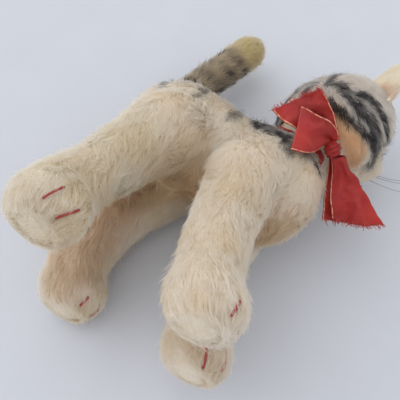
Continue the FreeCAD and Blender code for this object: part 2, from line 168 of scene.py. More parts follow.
SKIN = 2.0          # from the outside of the pile down to the visible surface of the combed cloth
SKIN_HEAD = 1.8
SKIN_TAIL = 1.9


def body_skin(p):
    d = body_env(p) + SKIN
    d = smax(d, 1.0 - p[..., 2], 1.6)                               # flat soles
    return smax(d, (p - NECK) @ AXIS + 0.25, 1.0)                    # open end at the neck joint


def head_skin(p):
    d = head_env(p) + SKIN_HEAD
    return smax(d, 0.25 - (p - NECK) @ AXIS, 1.0)


def tail_skin(p):
    return tail_env(p) + SKIN_TAIL


def grad(fn, p, e=0.15):
    g = np.empty(p.shape, np.float32)
    for k in range(3):
        o = np.zeros(3, np.float32)
        o[k] = e
        g[..., k] = fn(p + o) - fn(p - o)
    return unit(g).astype(np.float32)


def surface(fn, lo, hi, h, steps=2):
    """Closed quad mesh of fn = 0: one vertex a cell, averaged from the crossings on its edges."""
    lo = np.asarray(lo, float)
    n = np.ceil((np.asarray(hi, float) - lo) / h).astype(int) + 1
    xs = [(lo[k] + h * np.arange(n[k])).astype(np.float32) for k in range(3)]
    F = np.empty(tuple(n), np.float32)
    for i in range(0, n[0], 12):
        X, Y, Z = np.meshgrid(xs[0][i:i + 12], xs[1], xs[2], indexing="ij")
        F[i:i + 12] = fn(np.stack([X, Y, Z], -1))
    ids, P, quads = [], [], []
    m1, m2 = n[1] - 1, n[2] - 1
    for ax in range(3):
        f = np.moveaxis(F, ax, 0)
        f0, f1 = f[:-1], f[1:]
        m = (f0 < 0) != (f1 < 0)
        I = np.nonzero(m)
        a0, a1 = f0[m], f1[m]
        g = np.empty((len(a0), 3), np.int64)
        oth = [o for o in range(3) if o != ax]
        g[:, ax], g[:, oth[0]], g[:, oth[1]] = I
        pos = g.astype(float)
        pos[:, ax] += a0 / (a0 - a1)
        b, c = (ax + 1) % 3, (ax + 2) % 3
        cells = []
        for db, dc in ((-1, -1), (0, -1), (0, 0), (-1, 0)):
            q = g.copy()
            q[:, b] += db
            q[:, c] += dc
            i_ = (q[:, 0] * m1 + q[:, 1]) * m2 + q[:, 2]
            cells.append(i_)
            ids.append(i_)
            P.append(pos)
        Q = np.stack(cells, 1)
        flip = a0 >= 0
        Q[flip] = Q[flip][:, ::-1]
        quads.append(Q)
    ids, P, quads = np.concatenate(ids), np.concatenate(P), np.concatenate(quads)
    uniq, inv = np.unique(ids, return_inverse=True)
    cnt = np.bincount(inv)
    V = np.stack([np.bincount(inv, P[:, k]) / cnt for k in range(3)], 1) * h + lo
    V = V.astype(np.float32)
    for _ in range(steps):
        V -= np.clip(fn(V), -h, h)[:, None] * grad(fn, V)
    return V, np.searchsorted(uniq, quads)


def mesh_object(name, V, faces, smooth=True):
    """V in mm, faces as one array or a list of arrays"""
    me = bpy.data.meshes.new(name)
    V = to_m(V)
    if isinstance(faces, np.ndarray):
        nf, k = faces.shape
        me.vertices.add(len(V))
        me.vertices.foreach_set("co", V.astype(np.float32).ravel())
        me.loops.add(nf * k)
        me.loops.foreach_set("vertex_index", faces.astype(np.int32).ravel())
        me.polygons.add(nf)
        me.polygons.foreach_set("loop_start", np.arange(0, nf * k, k, dtype=np.int32))
        me.update(calc_edges=True)
    else:
        me.from_pydata([tuple(v) for v in V], [], [tuple(int(i) for i in f) for f in faces])
        me.update()
    me.validate()
    if smooth:
        me.polygons.foreach_set("use_smooth", np.ones(len(me.polygons), bool))
    ob = bpy.data.objects.new(name, me)
    bpy.context.scene.collection.objects.link(ob)
    return ob


def vertex_normals(V, Q):
    tri = np.concatenate([Q[:, [0, 1, 2]], Q[:, [0, 2, 3]]]) if Q.shape[1] == 4 else Q
    n = np.cross(V[tri[:, 1]] - V[tri[:, 0]], V[tri[:, 2]] - V[tri[:, 0]])
    out = np.zeros(V.shape)
    for k in range(3):
        for c in range(3):
            out[:, k] += np.bincount(tri[:, c], n[:, k], minlength=len(V))
    return unit(out)


def set_color(ob, name, col):
    at = ob.data.attributes.new(name, "FLOAT_COLOR", "POINT")
    c = np.ones((len(col), 4), np.float32)
    c[:, :3] = col
    at.data.foreach_set("color", c.ravel())


def lin(r, g, b):
    """sRGB 0-255 to linear"""
    c = np.array([r, g, b], float) / 255.0
    return np.where(c <= 0.04045, c / 12.92, ((c + 0.055) / 1.055) ** 2.4)


# smooth value noise on a lattice, repeatable
_lat = np.random.default_rng(5).random((64, 64, 64)).astype(np.float32)


def noise(p, scale, seed=0):
    """0..1, features about scale mm across"""
    q = np.asarray(p, float) / scale + seed * 17.31 + 500.0
    i = np.floor(q).astype(int)
    f = q - i
    f = f * f * (3 - 2 * f)
    i = i % 64
    j = (i + 1) % 64
    x0, y0, z0 = i[..., 0], i[..., 1], i[..., 2]
    x1, y1, z1 = j[..., 0], j[..., 1], j[..., 2]
    fx, fy, fz = f[..., 0], f[..., 1], f[..., 2]
    a = _lat[x0, y0, z0] * (1 - fx) + _lat[x1, y0, z0] * fx
    b = _lat[x0, y1, z0] * (1 - fx) + _lat[x1, y1, z0] * fx
    c = _lat[x0, y0, z1] * (1 - fx) + _lat[x1, y0, z1] * fx
    d = _lat[x0, y1, z1] * (1 - fx) + _lat[x1, y1, z1] * fx
    return (a * (1 - fy) + b * fy) * (1 - fz) + (c * (1 - fy) + d * fy) * fz


def sstep(a, b, x):
    t = np.clip((x - a) / (b - a), 0, 1)
    return t * t * (3 - 2 * t)


def poly_dist(p, pts):
    """distance to a polyline, and how far along it"""
    pts = np.asarray(pts, float)
    best = np.full(len(p), 1e9)
    at = np.zeros(len(p))
    run = 0.0
    for a, b in zip(pts[:-1], pts[1:]):
        d = b - a
        L = np.linalg.norm(d)
        t = np.clip((p - a) @ d / (L * L), 0, 1)
        r = np.linalg.norm(p - (a + t[:, None] * d), axis=1)
        m = r < best
        best[m] = r[m]
        at[m] = run + t[m] * L
        run += L
    return best, at

# ------------------------------------------------------------------ node helpers


def material(name):
    m = bpy.data.materials.new(name)
    m.use_nodes = True
    m.node_tree.nodes.clear()
    return m, m.node_tree


def node(nt, kind, ins=None, **props):
    n = nt.nodes.new("ShaderNode" + kind)
    for k, v in props.items():
        setattr(n, k, v)
    for k, v in (ins or {}).items():
        s = n.inputs[k]
        if isinstance(v, bpy.types.NodeSocket):
            nt.links.new(v, s)
        else:
            s.default_value = v
    return n


def maths(nt, op, a, b=None, clamp=False):
    ins = {0: a}
    if b is not None:
        ins[1] = b
    return node(nt, "Math", ins, operation=op, use_clamp=clamp).outputs[0]


def mix(nt, f, a, b, blend="MIX"):
    def c(v):
        return v if isinstance(v, bpy.types.NodeSocket) else (*[float(x) for x in v], 1.0)[:4]
    return node(nt, "Mix", {0: f, 6: c(a), 7: c(b)}, data_type="RGBA", blend_type=blend).outputs[2]


def ramp(nt, fac, stops):
    r = node(nt, "ValToRGB", {0: fac})
    e = r.color_ramp.elements
    while len(e) < len(stops):
        e.new(0.5)
    for s, (pos, col) in zip(e, stops):
        s.position = pos
        s.color = (*[float(x) for x in (col if hasattr(col, "__len__") else (col,) * 3)], 1.0)
    return r.outputs[0]


def maprange(nt, v, a, b, c=0.0, d=1.0):
    return node(nt, "MapRange", {0: v, 1: a, 2: b, 3: c, 4: d}).outputs[0]


def coords(nt, scale=(1, 1, 1)):
    t = node(nt, "TexCoord").outputs["Object"]
    return node(nt, "Mapping", {"Vector": t, "Scale": scale}).outputs[0]


def finish_mat(m, nt, shader):
    o = node(nt, "OutputMaterial")
    nt.links.new(shader, o.inputs["Surface"])
    return m


def principled(nt, **ins):
    names = {"base": "Base Color", "rough": "Roughness", "metal": "Metallic", "normal": "Normal", "sheen": "Sheen Weight",
             "sheen_rough": "Sheen Roughness", "sheen_tint": "Sheen Tint", "coat": "Coat Weight", "coat_rough": "Coat Roughness",
             "spec": "Specular IOR Level", "sss": "Subsurface Weight", "sss_r": "Subsurface Radius", "sss_s": "Subsurface Scale",
             "trans": "Transmission Weight", "aniso": "Anisotropic", "alpha": "Alpha", "ior": "IOR"}
    d = {}
    for k, v in ins.items():
        if isinstance(v, (tuple, list, np.ndarray)) and len(v) == 3 and k in ("base", "sheen_tint"):
            v = (*[float(x) for x in v], 1.0)
        d[names[k]] = v
    return node(nt, "BsdfPrincipled", d).outputs[0]


def bump(nt, height, strength=0.5, dist=0.0003, normal=None):
    ins = {"Strength": strength, "Distance": dist, "Height": height}
    if normal is not None:
        ins["Normal"] = normal
    return node(nt, "Bump", ins).outputs[0]


def dress(ob, m):
    ob.data.materials.clear()
    ob.data.materials.append(m)
    return ob


# ------------------------------------------------------------------ materials


def mohair_cloth(name, sheen=0.35):
    """The combed pile as a surface: colour from the airbrushed pattern, fine fibre relief in the nodes."""
    m, nt = material(name)
    col = node(nt, "Attribute", attribute_name="fur").outputs["Color"]
    v = coords(nt)
    fine = node(nt, "TexNoise", {"Vector": node(nt, "Mapping", {"Vector": v, "Scale": (2600, 2600, 700)}).outputs[0], "Scale": 1.0, "Detail": 3.0, "Roughness": 0.6}).outputs[0]
    soft = node(nt, "TexNoise", {"Vector": v, "Scale": 160.0, "Detail": 4.0, "Roughness": 0.6}).outputs[0]
    c = mix(nt, maprange(nt, fine, 0.3, 0.7, 0.0, 0.28), col, mix(nt, 1.0, col, lin(214, 196, 168), "MULTIPLY"))
    c = mix(nt, maprange(nt, soft, 0.35, 0.75, 0.0, 0.25), c, mix(nt, 0.6, col, lin(250, 246, 236), "SCREEN"))
    n = bump(nt, fine, 0.55, 0.00035)
    n = bump(nt, soft, 0.4, 0.0006, n)
    return finish_mat(m, nt, principled(nt, base=c, rough=0.92, sheen=sheen, sheen_rough=0.45, sheen_tint=lin(250, 240, 222), spec=0.15, normal=n))


def hair_mat(name):
    """Single mohair fibres: soft translucent wool with a little silk shine, darkened and warmed at the root as painted
    shade deep in the pile.
    """
    m, nt = material(name)
    col = node(nt, "Attribute", attribute_name="fur").outputs["Color"]
    info = node(nt, "HairInfo")
    # painted shade: each fibre darkens and warms towards its root, where the pile shades itself
    root = maprange(nt, info.outputs["Intercept"], 0.0, 0.75, 1.0, 0.0)
    c = mix(nt, maths(nt, "MULTIPLY", root, 0.45), col, mix(nt, 1.0, col, lin(240, 226, 200), "MULTIPLY"))
    vary = maprange(nt, info.outputs["Random"], 0.0, 1.0, 0.0, 0.22)
    c = mix(nt, vary, c, mix(nt, 1.0, c, lin(228, 216, 196), "MULTIPLY"))
    hair = node(nt, "BsdfHairPrincipled", {"Color": c, "Roughness": 0.42, "Radial Roughness": 0.55, "Coat": 0.0, "Random Roughness": 0.2}, parametrization="COLOR")
    soft = node(nt, "BsdfDiffuse", {"Color": c, "Roughness": 0.6}).outputs[0]
    thin = node(nt, "BsdfTranslucent", {"Color": c}).outputs[0]
    d = node(nt, "MixShader", {0: 0.48, 1: soft, 2: thin}).outputs[0]
    return finish_mat(m, nt, node(nt, "MixShader", {0: 0.35, 1: d, 2: hair.outputs[0]}).outputs[0])


def thread_mat(name, c1, c2, shine=0.45, fuzz=0.5, scale=1.0):
    """Spun thread: lustre along the ply, darker between plies, small loose fibres as relief."""
    m, nt = material(name)
    v = coords(nt)
    fib = node(nt, "TexNoise", {"Vector": node(nt, "Mapping", {"Vector": v, "Scale": (2400 * scale, 900 * scale, 2400 * scale)}).outputs[0], "Scale": 1.0, "Detail": 3.0}).outputs[0]
    big = node(nt, "TexNoise", {"Vector": v, "Scale": 420.0 * scale, "Detail": 2.0}).outputs[0]
    c = mix(nt, maprange(nt, fib, 0.3, 0.7), c1, c2)
    c = mix(nt, maprange(nt, big, 0.4, 0.7, 0.0, 0.4), c, mix(nt, 1.0, c1, (0.55, 0.5, 0.5), "MULTIPLY"))
    return finish_mat(m, nt, principled(nt, base=c, rough=1 - shine, sheen=fuzz * 0.5, sheen_rough=0.4, spec=0.35, normal=bump(nt, fib, 0.5, 0.0001)))


def card_mat():
    m, nt = material("pressed_card")
    v = coords(nt)
    f = node(nt, "TexNoise", {"Vector": v, "Scale": 900.0, "Detail": 6.0, "Roughness": 0.7}).outputs[0]
    s = node(nt, "TexVoronoi", {"Vector": v, "Scale": 1500.0}).outputs["Distance"]
    c = ramp(nt, f, [(0.3, lin(122, 98, 66)), (0.6, lin(156, 128, 90)), (0.8, lin(176, 150, 110))])
    return finish_mat(m, nt, principled(nt, base=c, rough=0.88, normal=bump(nt, maths(nt, "ADD", f, s), 0.35, 0.0002)))


def steel_mat():
    m, nt = material("drawn_steel")
    v = coords(nt, (1, 1, 1))
    f = node(nt, "TexNoise", {"Vector": node(nt, "Mapping", {"Vector": v, "Scale": (300, 300, 4000)}).outputs[0], "Scale": 1.0, "Detail": 3.0}).outputs[0]
    r = node(nt, "TexNoise", {"Vector": v, "Scale": 500.0, "Detail": 6.0, "Roughness": 0.75}).outputs[0]
    rust = maprange(nt, r, 0.58, 0.7)
    c = mix(nt, rust, mix(nt, f, (0.42, 0.42, 0.44), (0.62, 0.62, 0.63)), lin(120, 66, 36))
    return finish_mat(m, nt, principled(nt, base=c, metal=maprange(nt, rust, 0.0, 1.0, 1.0, 0.15), rough=maprange(nt, f, 0.2, 0.8, 0.28, 0.5), normal=bump(nt, maths(nt, "ADD", f, rust), 0.2, 0.0001)))


def woodwool_mat():
    m, nt = material("wood_wool")
    v = coords(nt)
    w = node(nt, "TexNoise", {"Vector": v, "Scale": 120.0, "Detail": 2.0, "Distortion": 4.0}).outputs[0]
    s = node(nt, "TexWave", {"Vector": v, "Scale": 260.0, "Distortion": 22.0, "Detail": 3.0, "Detail Scale": 0.6}).outputs["Fac"]
    c = ramp(nt, maths(nt, "MULTIPLY", w, s), [(0.05, lin(120, 92, 52)), (0.3, lin(186, 156, 104)), (0.6, lin(222, 200, 150))])
    return finish_mat(m, nt, principled(nt, base=c, rough=0.75, normal=bump(nt, s, 0.9, 0.0012)))


def lining_mat():
    m, nt = material("short_pile_lining")
    v = coords(nt)
    f = node(nt, "TexNoise", {"Vector": v, "Scale": 2600.0, "Detail": 2.0}).outputs[0]
    b = node(nt, "TexNoise", {"Vector": v, "Scale": 90.0, "Detail": 4.0}).outputs[0]
    c = ramp(nt, b, [(0.35, lin(226, 200, 168)), (0.6, lin(234, 214, 186)), (0.75, lin(214, 178, 140))])
    c = mix(nt, maprange(nt, f, 0.35, 0.7, 0.0, 0.35), c, mix(nt, 1.0, c, lin(200, 170, 140), "MULTIPLY"))
    return finish_mat(m, nt, principled(nt, base=c, rough=0.95, sheen=0.6, sheen_rough=0.35, spec=0.1, normal=bump(nt, f, 0.6, 0.0002)))


def ribbon_mat(name="ribbon_taffeta", edge=True):
    """Red taffeta with a woven peach edge cord, gone pale and soft along folds. UV is in millimetres:
    u across from one woven edge, v along the ribbon; the attribute 'wear' is 1 on worn creases."""
    m, nt = material(name)
    uv = node(nt, "UVMap", uv_map="cloth").outputs[0]
    sep = node(nt, "SeparateXYZ", {0: uv})
    u, v = sep.outputs[0], sep.outputs[1]
    obj = coords(nt)
    warp = node(nt, "TexWave", {"Vector": uv, "Scale": 1.1, "Distortion": 0.25, "Detail": 1.0}, wave_type="BANDS", bands_direction="X").outputs["Fac"]
    weft = node(nt, "TexWave", {"Vector": uv, "Scale": 1.6, "Distortion": 0.6, "Detail": 2.0}, wave_type="BANDS", bands_direction="Y").outputs["Fac"]
    slub = node(nt, "TexNoise", {"Vector": node(nt, "Mapping", {"Vector": uv, "Scale": (0.12, 2.6, 1)}).outputs[0], "Scale": 1.0, "Detail": 3.0}).outputs[0]
    crush = node(nt, "TexNoise", {"Vector": obj, "Scale": 120.0, "Detail": 5.0, "Roughness": 0.62, "Distortion": 0.6}).outputs[0]
    patch = node(nt, "TexNoise", {"Vector": obj, "Scale": 45.0, "Detail": 3.0}).outputs[0]
    c = ramp(nt, patch, [(0.3, lin(138, 18, 20)), (0.5, lin(168, 30, 26)), (0.72, lin(190, 46, 34))])
    c = mix(nt, maprange(nt, slub, 0.4, 0.75, 0.0, 0.35), c, lin(206, 66, 54))
    c = mix(nt, maprange(nt, weft, 0.2, 0.9, 0.16, 0.0), c, lin(92, 8, 12))
    c = mix(nt, maprange(nt, crush, 0.52, 0.72, 0.0, 0.35), c, lin(214, 84, 66))
    wear = node(nt, "Attribute", attribute_name="wear").outputs["Fac"]
    c = mix(nt, maths(nt, "MULTIPLY", wear, 0.55), c, lin(226, 132, 104))
    if edge:
        e = node(nt, "Attribute", attribute_name="edge").outputs["Fac"]     # mm in from the nearest woven edge
        brk = node(nt, "TexNoise", {"Vector": obj, "Scale": 700.0, "Detail": 2.0}).outputs[0]
        cord = maths(nt, "MULTIPLY", maprange(nt, e, 0.72, 0.60), maprange(nt, e, 0.10, 0.20))
        cord = maths(nt, "MULTIPLY", cord, maprange(nt, brk, 0.40, 0.52, 0.25, 1.0), True)
        c = mix(nt, cord, c, mix(nt, maprange(nt, weft, 0.3, 0.8), lin(226, 156, 118), lin(242, 192, 150)))
        outer = maprange(nt, e, 0.12, 0.04)
        c = mix(nt, maths(nt, "MULTIPLY", outer, 0.5), c, lin(150, 30, 28))
    h = maths(nt, "ADD", maths(nt, "MULTIPLY", warp, 0.3), maths(nt, "MULTIPLY", weft, 0.7))
    n = bump(nt, h, 0.25, 0.00012)
    n = bump(nt, crush, 0.35, 0.0008, n)
    rough = maprange(nt, slub, 0.3, 0.7, 0.42, 0.6)
    s = principled(nt, base=c, rough=rough, sheen=0.25, sheen_rough=0.35, sheen_tint=lin(255, 190, 170), spec=0.4, aniso=0.4, normal=n)
    tl = node(nt, "BsdfTranslucent", {"Color": c}).outputs[0]
    return finish_mat(m, nt, node(nt, "MixShader", {0: 0.12, 1: s, 2: tl}).outputs[0])


def eye_mat():
    """Painted glass: green iris flecked outwards from a slit pupil, dark rim. UV is -1..1 over the lens."""
    m, nt = material("eye_glass")
    uv = node(nt, "UVMap", uv_map="cloth").outputs[0]
    sep = node(nt, "SeparateXYZ", {0: uv})
    x, y = sep.outputs[0], sep.outputs[1]
    r = maths(nt, "SQRT", maths(nt, "ADD", maths(nt, "MULTIPLY", x, x), maths(nt, "MULTIPLY", y, y)))
    ang = maths(nt, "ARCTAN2", y, x)
    ray = node(nt, "TexNoise", {"Vector": node(nt, "CombineXYZ", {0: maths(nt, "MULTIPLY", ang, 7.0), 1: maths(nt, "MULTIPLY", r, 1.6)}).outputs[0], "Scale": 2.2, "Detail": 4.0}).outputs[0]
    iris = ramp(nt, maths(nt, "ADD", maths(nt, "MULTIPLY", r, 0.7), maths(nt, "MULTIPLY", ray, 0.3)), [(0.2, lin(206, 196, 96)), (0.45, lin(126, 158, 70)), (0.7, lin(62, 108, 58)), (0.85, lin(24, 52, 34))])
    rim = maprange(nt, r, 0.80, 0.90)
    c = mix(nt, rim, iris, lin(8, 8, 8))
    slit = maths(nt, "ADD", maths(nt, "MULTIPLY", maths(nt, "ABSOLUTE", x), 3.6), maths(nt, "MULTIPLY", maths(nt, "ABSOLUTE", y), 0.95))
    c = mix(nt, maprange(nt, slit, 0.80, 0.68), c, lin(6, 6, 7))
    return finish_mat(m, nt, principled(nt, base=c, rough=0.12, coat=1.0, coat_rough=0.03, spec=0.6, normal=bump(nt, ray, 0.05, 0.0001)))


def whisker_mat():
    m, nt = material("whisker_thread")
    v = coords(nt)
    f = node(nt, "TexNoise", {"Vector": v, "Scale": 900.0, "Detail": 3.0}).outputs[0]
    c = ramp(nt, f, [(0.3, lin(58, 50, 44)), (0.7, lin(112, 100, 88))])
    return finish_mat(m, nt, principled(nt, base=c, rough=0.35, coat=0.3, normal=bump(nt, f, 0.3, 0.0001)))


M_FUR = mohair_cloth("mohair_pile")
M_HAIR = hair_mat("mohair_fibre")
M_CLAW = thread_mat("claw_floss_red", lin(192, 84, 72), lin(150, 46, 46))
M_NOSE = thread_mat("nose_floss_red", lin(186, 70, 62), lin(148, 42, 42))
M_SEW = thread_mat("sewing_thread_ecru", lin(222, 208, 180), lin(186, 168, 138), 0.3, 0.4)
M_CARD = card_mat()
M_STEEL = steel_mat()
M_WOOL = woodwool_mat()
M_LINING = lining_mat()
M_RIBBON = ribbon_mat()
M_FRAY = thread_mat("frayed_silk_red", lin(204, 74, 58), lin(170, 40, 36), 0.5, 0.6)
M_EYE = eye_mat()
M_WHISK = whisker_mat()

# ------------------------------------------------------------------ airbrushed pattern
CREAM, PALE, WARM = lin(248, 242, 228), lin(253, 250, 244), lin(242, 227, 196)
# the tan is painted reflected light, thrown onto the head from the red ribbon
RIBBON_BOUNCE_TAN, GREY, DARK, BLACK = lin(244, 212, 168), lin(222, 215, 206), lin(70, 62, 64), lin(28, 25, 32)
# the warm brown is painted shade, laid under the body and between the legs
SHADE_BROWN, GREEN = lin(226, 198, 150), lin(236, 232, 204)


def blend_c(col, f, to):
    return col * (1 - f[:, None]) + np.asarray(to) * f[:, None]


def stripe(p, pts, w0, w1=None, jitter=1.4, seed=0, ends=2.5):
    """1 inside a brushed stripe that follows pts, ragged along its edges"""
    d, at = poly_dist(p, pts)
    L = sum(np.linalg.norm(np.subtract(b, a)) for a, b in zip(pts[:-1], pts[1:]))
    w1 = w0 if w1 is None else w1
    w = w0 + (w1 - w0) * np.clip(at / L, 0, 1)
    rag = (noise(p, 1.6, seed) - 0.5) * 2 * jitter + (noise(p, 4.5, seed + 3) - 0.5) * jitter
    return sstep(0.9, -0.9, d + rag - w * 1.35 - 0.3)


BODY_STRIPES = [
    ([(0, 33, 116), (14, 35, 110), (22, 34, 96), (26, 32, 88)], 2.4, 1.2, 0.75),
    ([(0, 15, 116), (13, 16, 111), (22, 16, 99), (24, 15, 92)], 2.4, 1.0, 0.7),
    ([(0, -1, 111), (12, -2, 108), (20, -2, 98), (22.5, -2, 90)], 2.4, 1.0, 0.75),
    ([(10, -14, 108), (17, -14, 99), (20, -16, 97), (21.3, -26, 95), (23.5, -31.4, 85)], 3.2, 2.0, 1.0),
    ([(20.5, -37.0, 90.5), (17, -41.5, 91.5), (13.5, -44.5, 92)], 2.0, 1.5, 1.0),
    ([(8, -8, 111), (15, -9, 104), (19, -11, 98)], 1.6, 1.2, 0.7),
]
HEAD_STRIPES = [
    ([(10.9, 20.2, -11.7), (17.2, 13.2, -16), (21, 5.2, -17.4), (23.2, -2.0, -15.8), (22.4, -8.0, -15.0)], 1.7, 1.2, 1.0),
    ([(14.0, 21.5, -1.5), (16.5, 19.9, -4.3), (18.8, 17.5, -7.5), (22.7, 11.6, -10.8), (25.4, 2.9, -12.3), (23.9, -7.1, -12.9), (16.7, -16.6, -13.3)], 2.3, 2.0, 1.0),
    ([(22.0, 15.5, -4.0), (25.3, 11.5, -3.9), (28, 4, -5), (27.6, -4.9, -6), (24.5, -11, -7.9)], 1.6, 1.3, 1.0),
    ([(2.5, 24.1, -6), (2.5, 24.6, 0), (2.6, 23, 8), (2.4, 19, 15), (2.2, 14, 20)], 1.2, 1.0, 0.9),
    ([(8.4, 22.4, 0), (8.2, 20.8, 9), (7.6, 15.5, 17), (7, 8, 22)], 1.4, 1.0, 0.8),
    ([(0, -8, 25.2), (0, -14, 20.8), (0, -18, 16)], 1.3, 0.8, 0.9),
    ([(5.0, -6, 25.4), (5.0, -12, 21.6), (4.2, -17, 16.5)], 1.2, 0.7, 0.9),
    ([(9.8, -5, 23.8), (9.6, -10, 21), (8.6, -15.2, 16)], 1.1, 0.6, 0.8),
    ([(23.5, -12.5, 3.5), (20, -18.2, 1.5), (15.5, -21.2, 0.2)], 1.1, 0.7, 0.9),
    ([(23.5, -12.8, -1.5), (19.5, -18.2, -3.2), (16.5, -20.4, -4.2)], 1.0, 0.6, 0.9),
]
EARS = {1: None, -1: None}


def body_color(p, n):
    q = p.copy()
    q[:, 0] = np.abs(q[:, 0])
    col = np.tile(CREAM, (len(p), 1))
    col = blend_c(col, 0.7 * noise(p, 9, 1), PALE)
    col = blend_c(col, 0.38 * sstep(0.45, 0.8, noise(p, 12, 2)), WARM)
    z = p[:, 2]
    # painted shade: the underside, where the normals face down, is tinted warm brown
    underside_shade = sstep(0.25, 0.95, -n[:, 2]) * sstep(40, 60, z)
    col = blend_c(col, 0.55 * underside_shade, SHADE_BROWN)
    # painted shade between the legs and under the belly, tinted warm brown
    between_legs_shade = sstep(13, 4, q[:, 0]) * sstep(84, 66, z)
    col = blend_c(col, 0.5 * between_legs_shade, SHADE_BROWN)
    # painted shade on the inner side of the left rear leg, where it meets the body
    rear_leg_shade = sstep(24, 14, q[:, 0]) * sstep(10, 22, p[:, 1]) * sstep(64, 44, z)
    col = blend_c(col, 0.35 * rear_leg_shade * (p[:, 0] > 0), lin(216, 178, 136))
    col = blend_c(col, 0.30 * sstep(8, 16, p[:, 1]) * sstep(78, 58, z) * (p[:, 0] < 0) * noise(p, 11, 4), GREEN)
    col = blend_c(col, 0.22 * sstep(14, 6, z) * noise(p, 6, 7), lin(206, 186, 150))
    # grey back, darker and blotched towards the neck
    back = sstep(97, 107, z + 3.0 * noise(p, 6, 5)) * sstep(0.0, 0.5, n[:, 2])
    col = blend_c(col, 0.55 * back, GREY)
    nape = sstep(-4, -20, p[:, 1]) * sstep(88, 98, z + 4 * (noise(p, 5, 6) - 0.5)) * sstep(60, 80, z)
    col = blend_c(col, 0.50 * nape * sstep(-46, -34, p[:, 1]), lin(170, 160, 158))
    for k, (pts, w0, w1, s) in enumerate(BODY_STRIPES):
        m = stripe(q, pts, w0, w1, 1.7, 20 + k)
        broken = 0.55 + 0.45 * sstep(0.3, 0.55, noise(p, 3.2, 30 + k))
        col = blend_c(col, s * m * broken * 0.93, BLACK if k > 2 else DARK)
    root = np.linalg.norm((p - A(-1, 33.5, 113.5)) * A(1, 1, 0.9), axis=1)
    col = blend_c(col, 0.8 * sstep(14.5, 10.5, root + 3 * (noise(p, 2.5, 9) - 0.5)) * sstep(0.3, 0.5, noise(p, 3, 19)), DARK)
    return col


def head_color(p, n):
    h = to_head(p)
    q = h.copy()
    q[:, 0] = np.abs(q[:, 0])
    col = np.tile(CREAM, (len(p), 1))
    col = blend_c(col, 0.7 * noise(p, 8, 1), PALE)
    # grey crown and nape; cream face, cheeks and chin
    crown = sstep(-14, -2, h[:, 1] + 0.35 * h[:, 2] + 4 * (noise(p, 5, 2) - 0.5)) * sstep(-21, -9, h[:, 2] + 0.1 * h[:, 1])
    top = sstep(9, 17, h[:, 2]) * sstep(-22, -14, h[:, 1])
    g = np.maximum(crown, top)
    col = blend_c(col, 0.62 * g, GREY)
    col = blend_c(col, 0.32 * g * sstep(0.5, 0.75, noise(p, 2.2, 12)), lin(140, 132, 128))
    col = blend_c(col, 0.75 * g * sstep(0.52, 0.68, noise(p, 2.6, 77)), lin(238, 234, 228))
    # painted reflected light: a tan glow on both sides of the lower head next to the ribbon, standing in for light
    # bounced off the red ribbon
    for pts, w in ((((13.8, 17.0, -15.3), (16.4, 8.4, -20.1), (18, -2.3, -20.8), (13.5, -8.1, -22.2)), 4.2),):
        d, _ = poly_dist(q, pts)
        col = blend_c(col, 0.9 * sstep(w + 2.2, w - 1.5, d + 1.5 * (noise(p, 3, 8) - 0.5)), RIBBON_BOUNCE_TAN)
    for k, (pts, w0, w1, s) in enumerate(HEAD_STRIPES):
        m = stripe(q, pts, w0, w1, 1.3 if k < 4 else 0.8, 50 + k)
        if k == 1:
            m = m * (0.72 + 0.28 * sstep(0.35, 0.55, noise(p, 2.4, 61)))
        if k == 3:
            m = m * (0.25 + 0.75 * sstep(0.38, 0.5, noise(p * A(1, 1, 0.6), 3.0, 62)))
        col = blend_c(col, s * m * 0.96, BLACK)
    dim = np.linalg.norm(q - A(11.2, -21.6, 4.5), axis=1)
    col = blend_c(col, 0.55 * sstep(8.5, 5.0, dim) * sstep(0.2, 0.6, noise(p, 2.5, 33) + 0.2), lin(150, 128, 112))
    snout = sstep(8.5, 3.5, np.linalg.norm(h - A(0, -28.5, -5.5), axis=1))
    col = blend_c(col, 0.45 * snout, lin(232, 198, 178))
    return col


def ear_color(p, n):
    h = to_head(p)
    col = np.tile(CREAM, (len(p), 1))
    col = blend_c(col, 0.45 * noise(p, 5, 3), GREEN)
    low = sstep(27, 16, h[:, 2] + 5 * (noise(p, 5, 4) - 0.5))
    col = blend_c(col, 0.75 * low * sstep(28.5, 20, np.abs(h[:, 0])), lin(224, 176, 116))
    edge = sstep(20, 12, h[:, 2])
    return blend_c(col, 0.35 * edge, lin(206, 160, 116))


RINGS = [(0.5, 3.6, 1.0), (9.5, 2.6, 0.95), (18.8, 2.7, 0.95), (28.5, 2.7, 0.85), (38.0, 2.6, 0.8)]


def tail_color(p, n):
    d = p - TAIL_A
    s = d @ TDIR
    e1 = unit(np.cross(TDIR, A(1, 0, 0)))
    e2 = np.cross(TDIR, e1)
    ang = np.arctan2(d @ e2, d @ e1)
    s2 = s + 1.8 * np.sin(ang + 0.6) + 3.4 * (noise(p, 5.5, 2) - 0.5)
    col = np.tile(lin(218, 202, 170), (len(p), 1))
    col = blend_c(col, 0.5 * noise(p, 6, 5), lin(200, 184, 156))
    tip = sstep(40, 45, s + 2 * (noise(p, 4, 8) - 0.5))
    col = blend_c(col, tip, lin(226, 214, 170))
    col = blend_c(col, 0.35 * tip * noise(p, 5, 9), lin(216, 198, 136))
    dark = np.zeros(len(p))
    for k, (c, w, a) in enumerate(RINGS):
        patch = 0.30 + 0.70 * sstep(0.36, 0.56, noise(p, 3.4, 40 + k))
        dark = np.maximum(dark, a * np.exp(-((s2 - c) / w) ** 2) * patch)
    col = blend_c(col, np.clip(dark * 1.15, 0, 0.95), lin(66, 58, 58))
    mid = sstep(0.55, 0.8, noise(p, 3.0, 77)) * (1 - tip)
    return blend_c(col, 0.35 * mid, lin(128, 112, 100))


# ------------------------------------------------------------------ lay of the pile


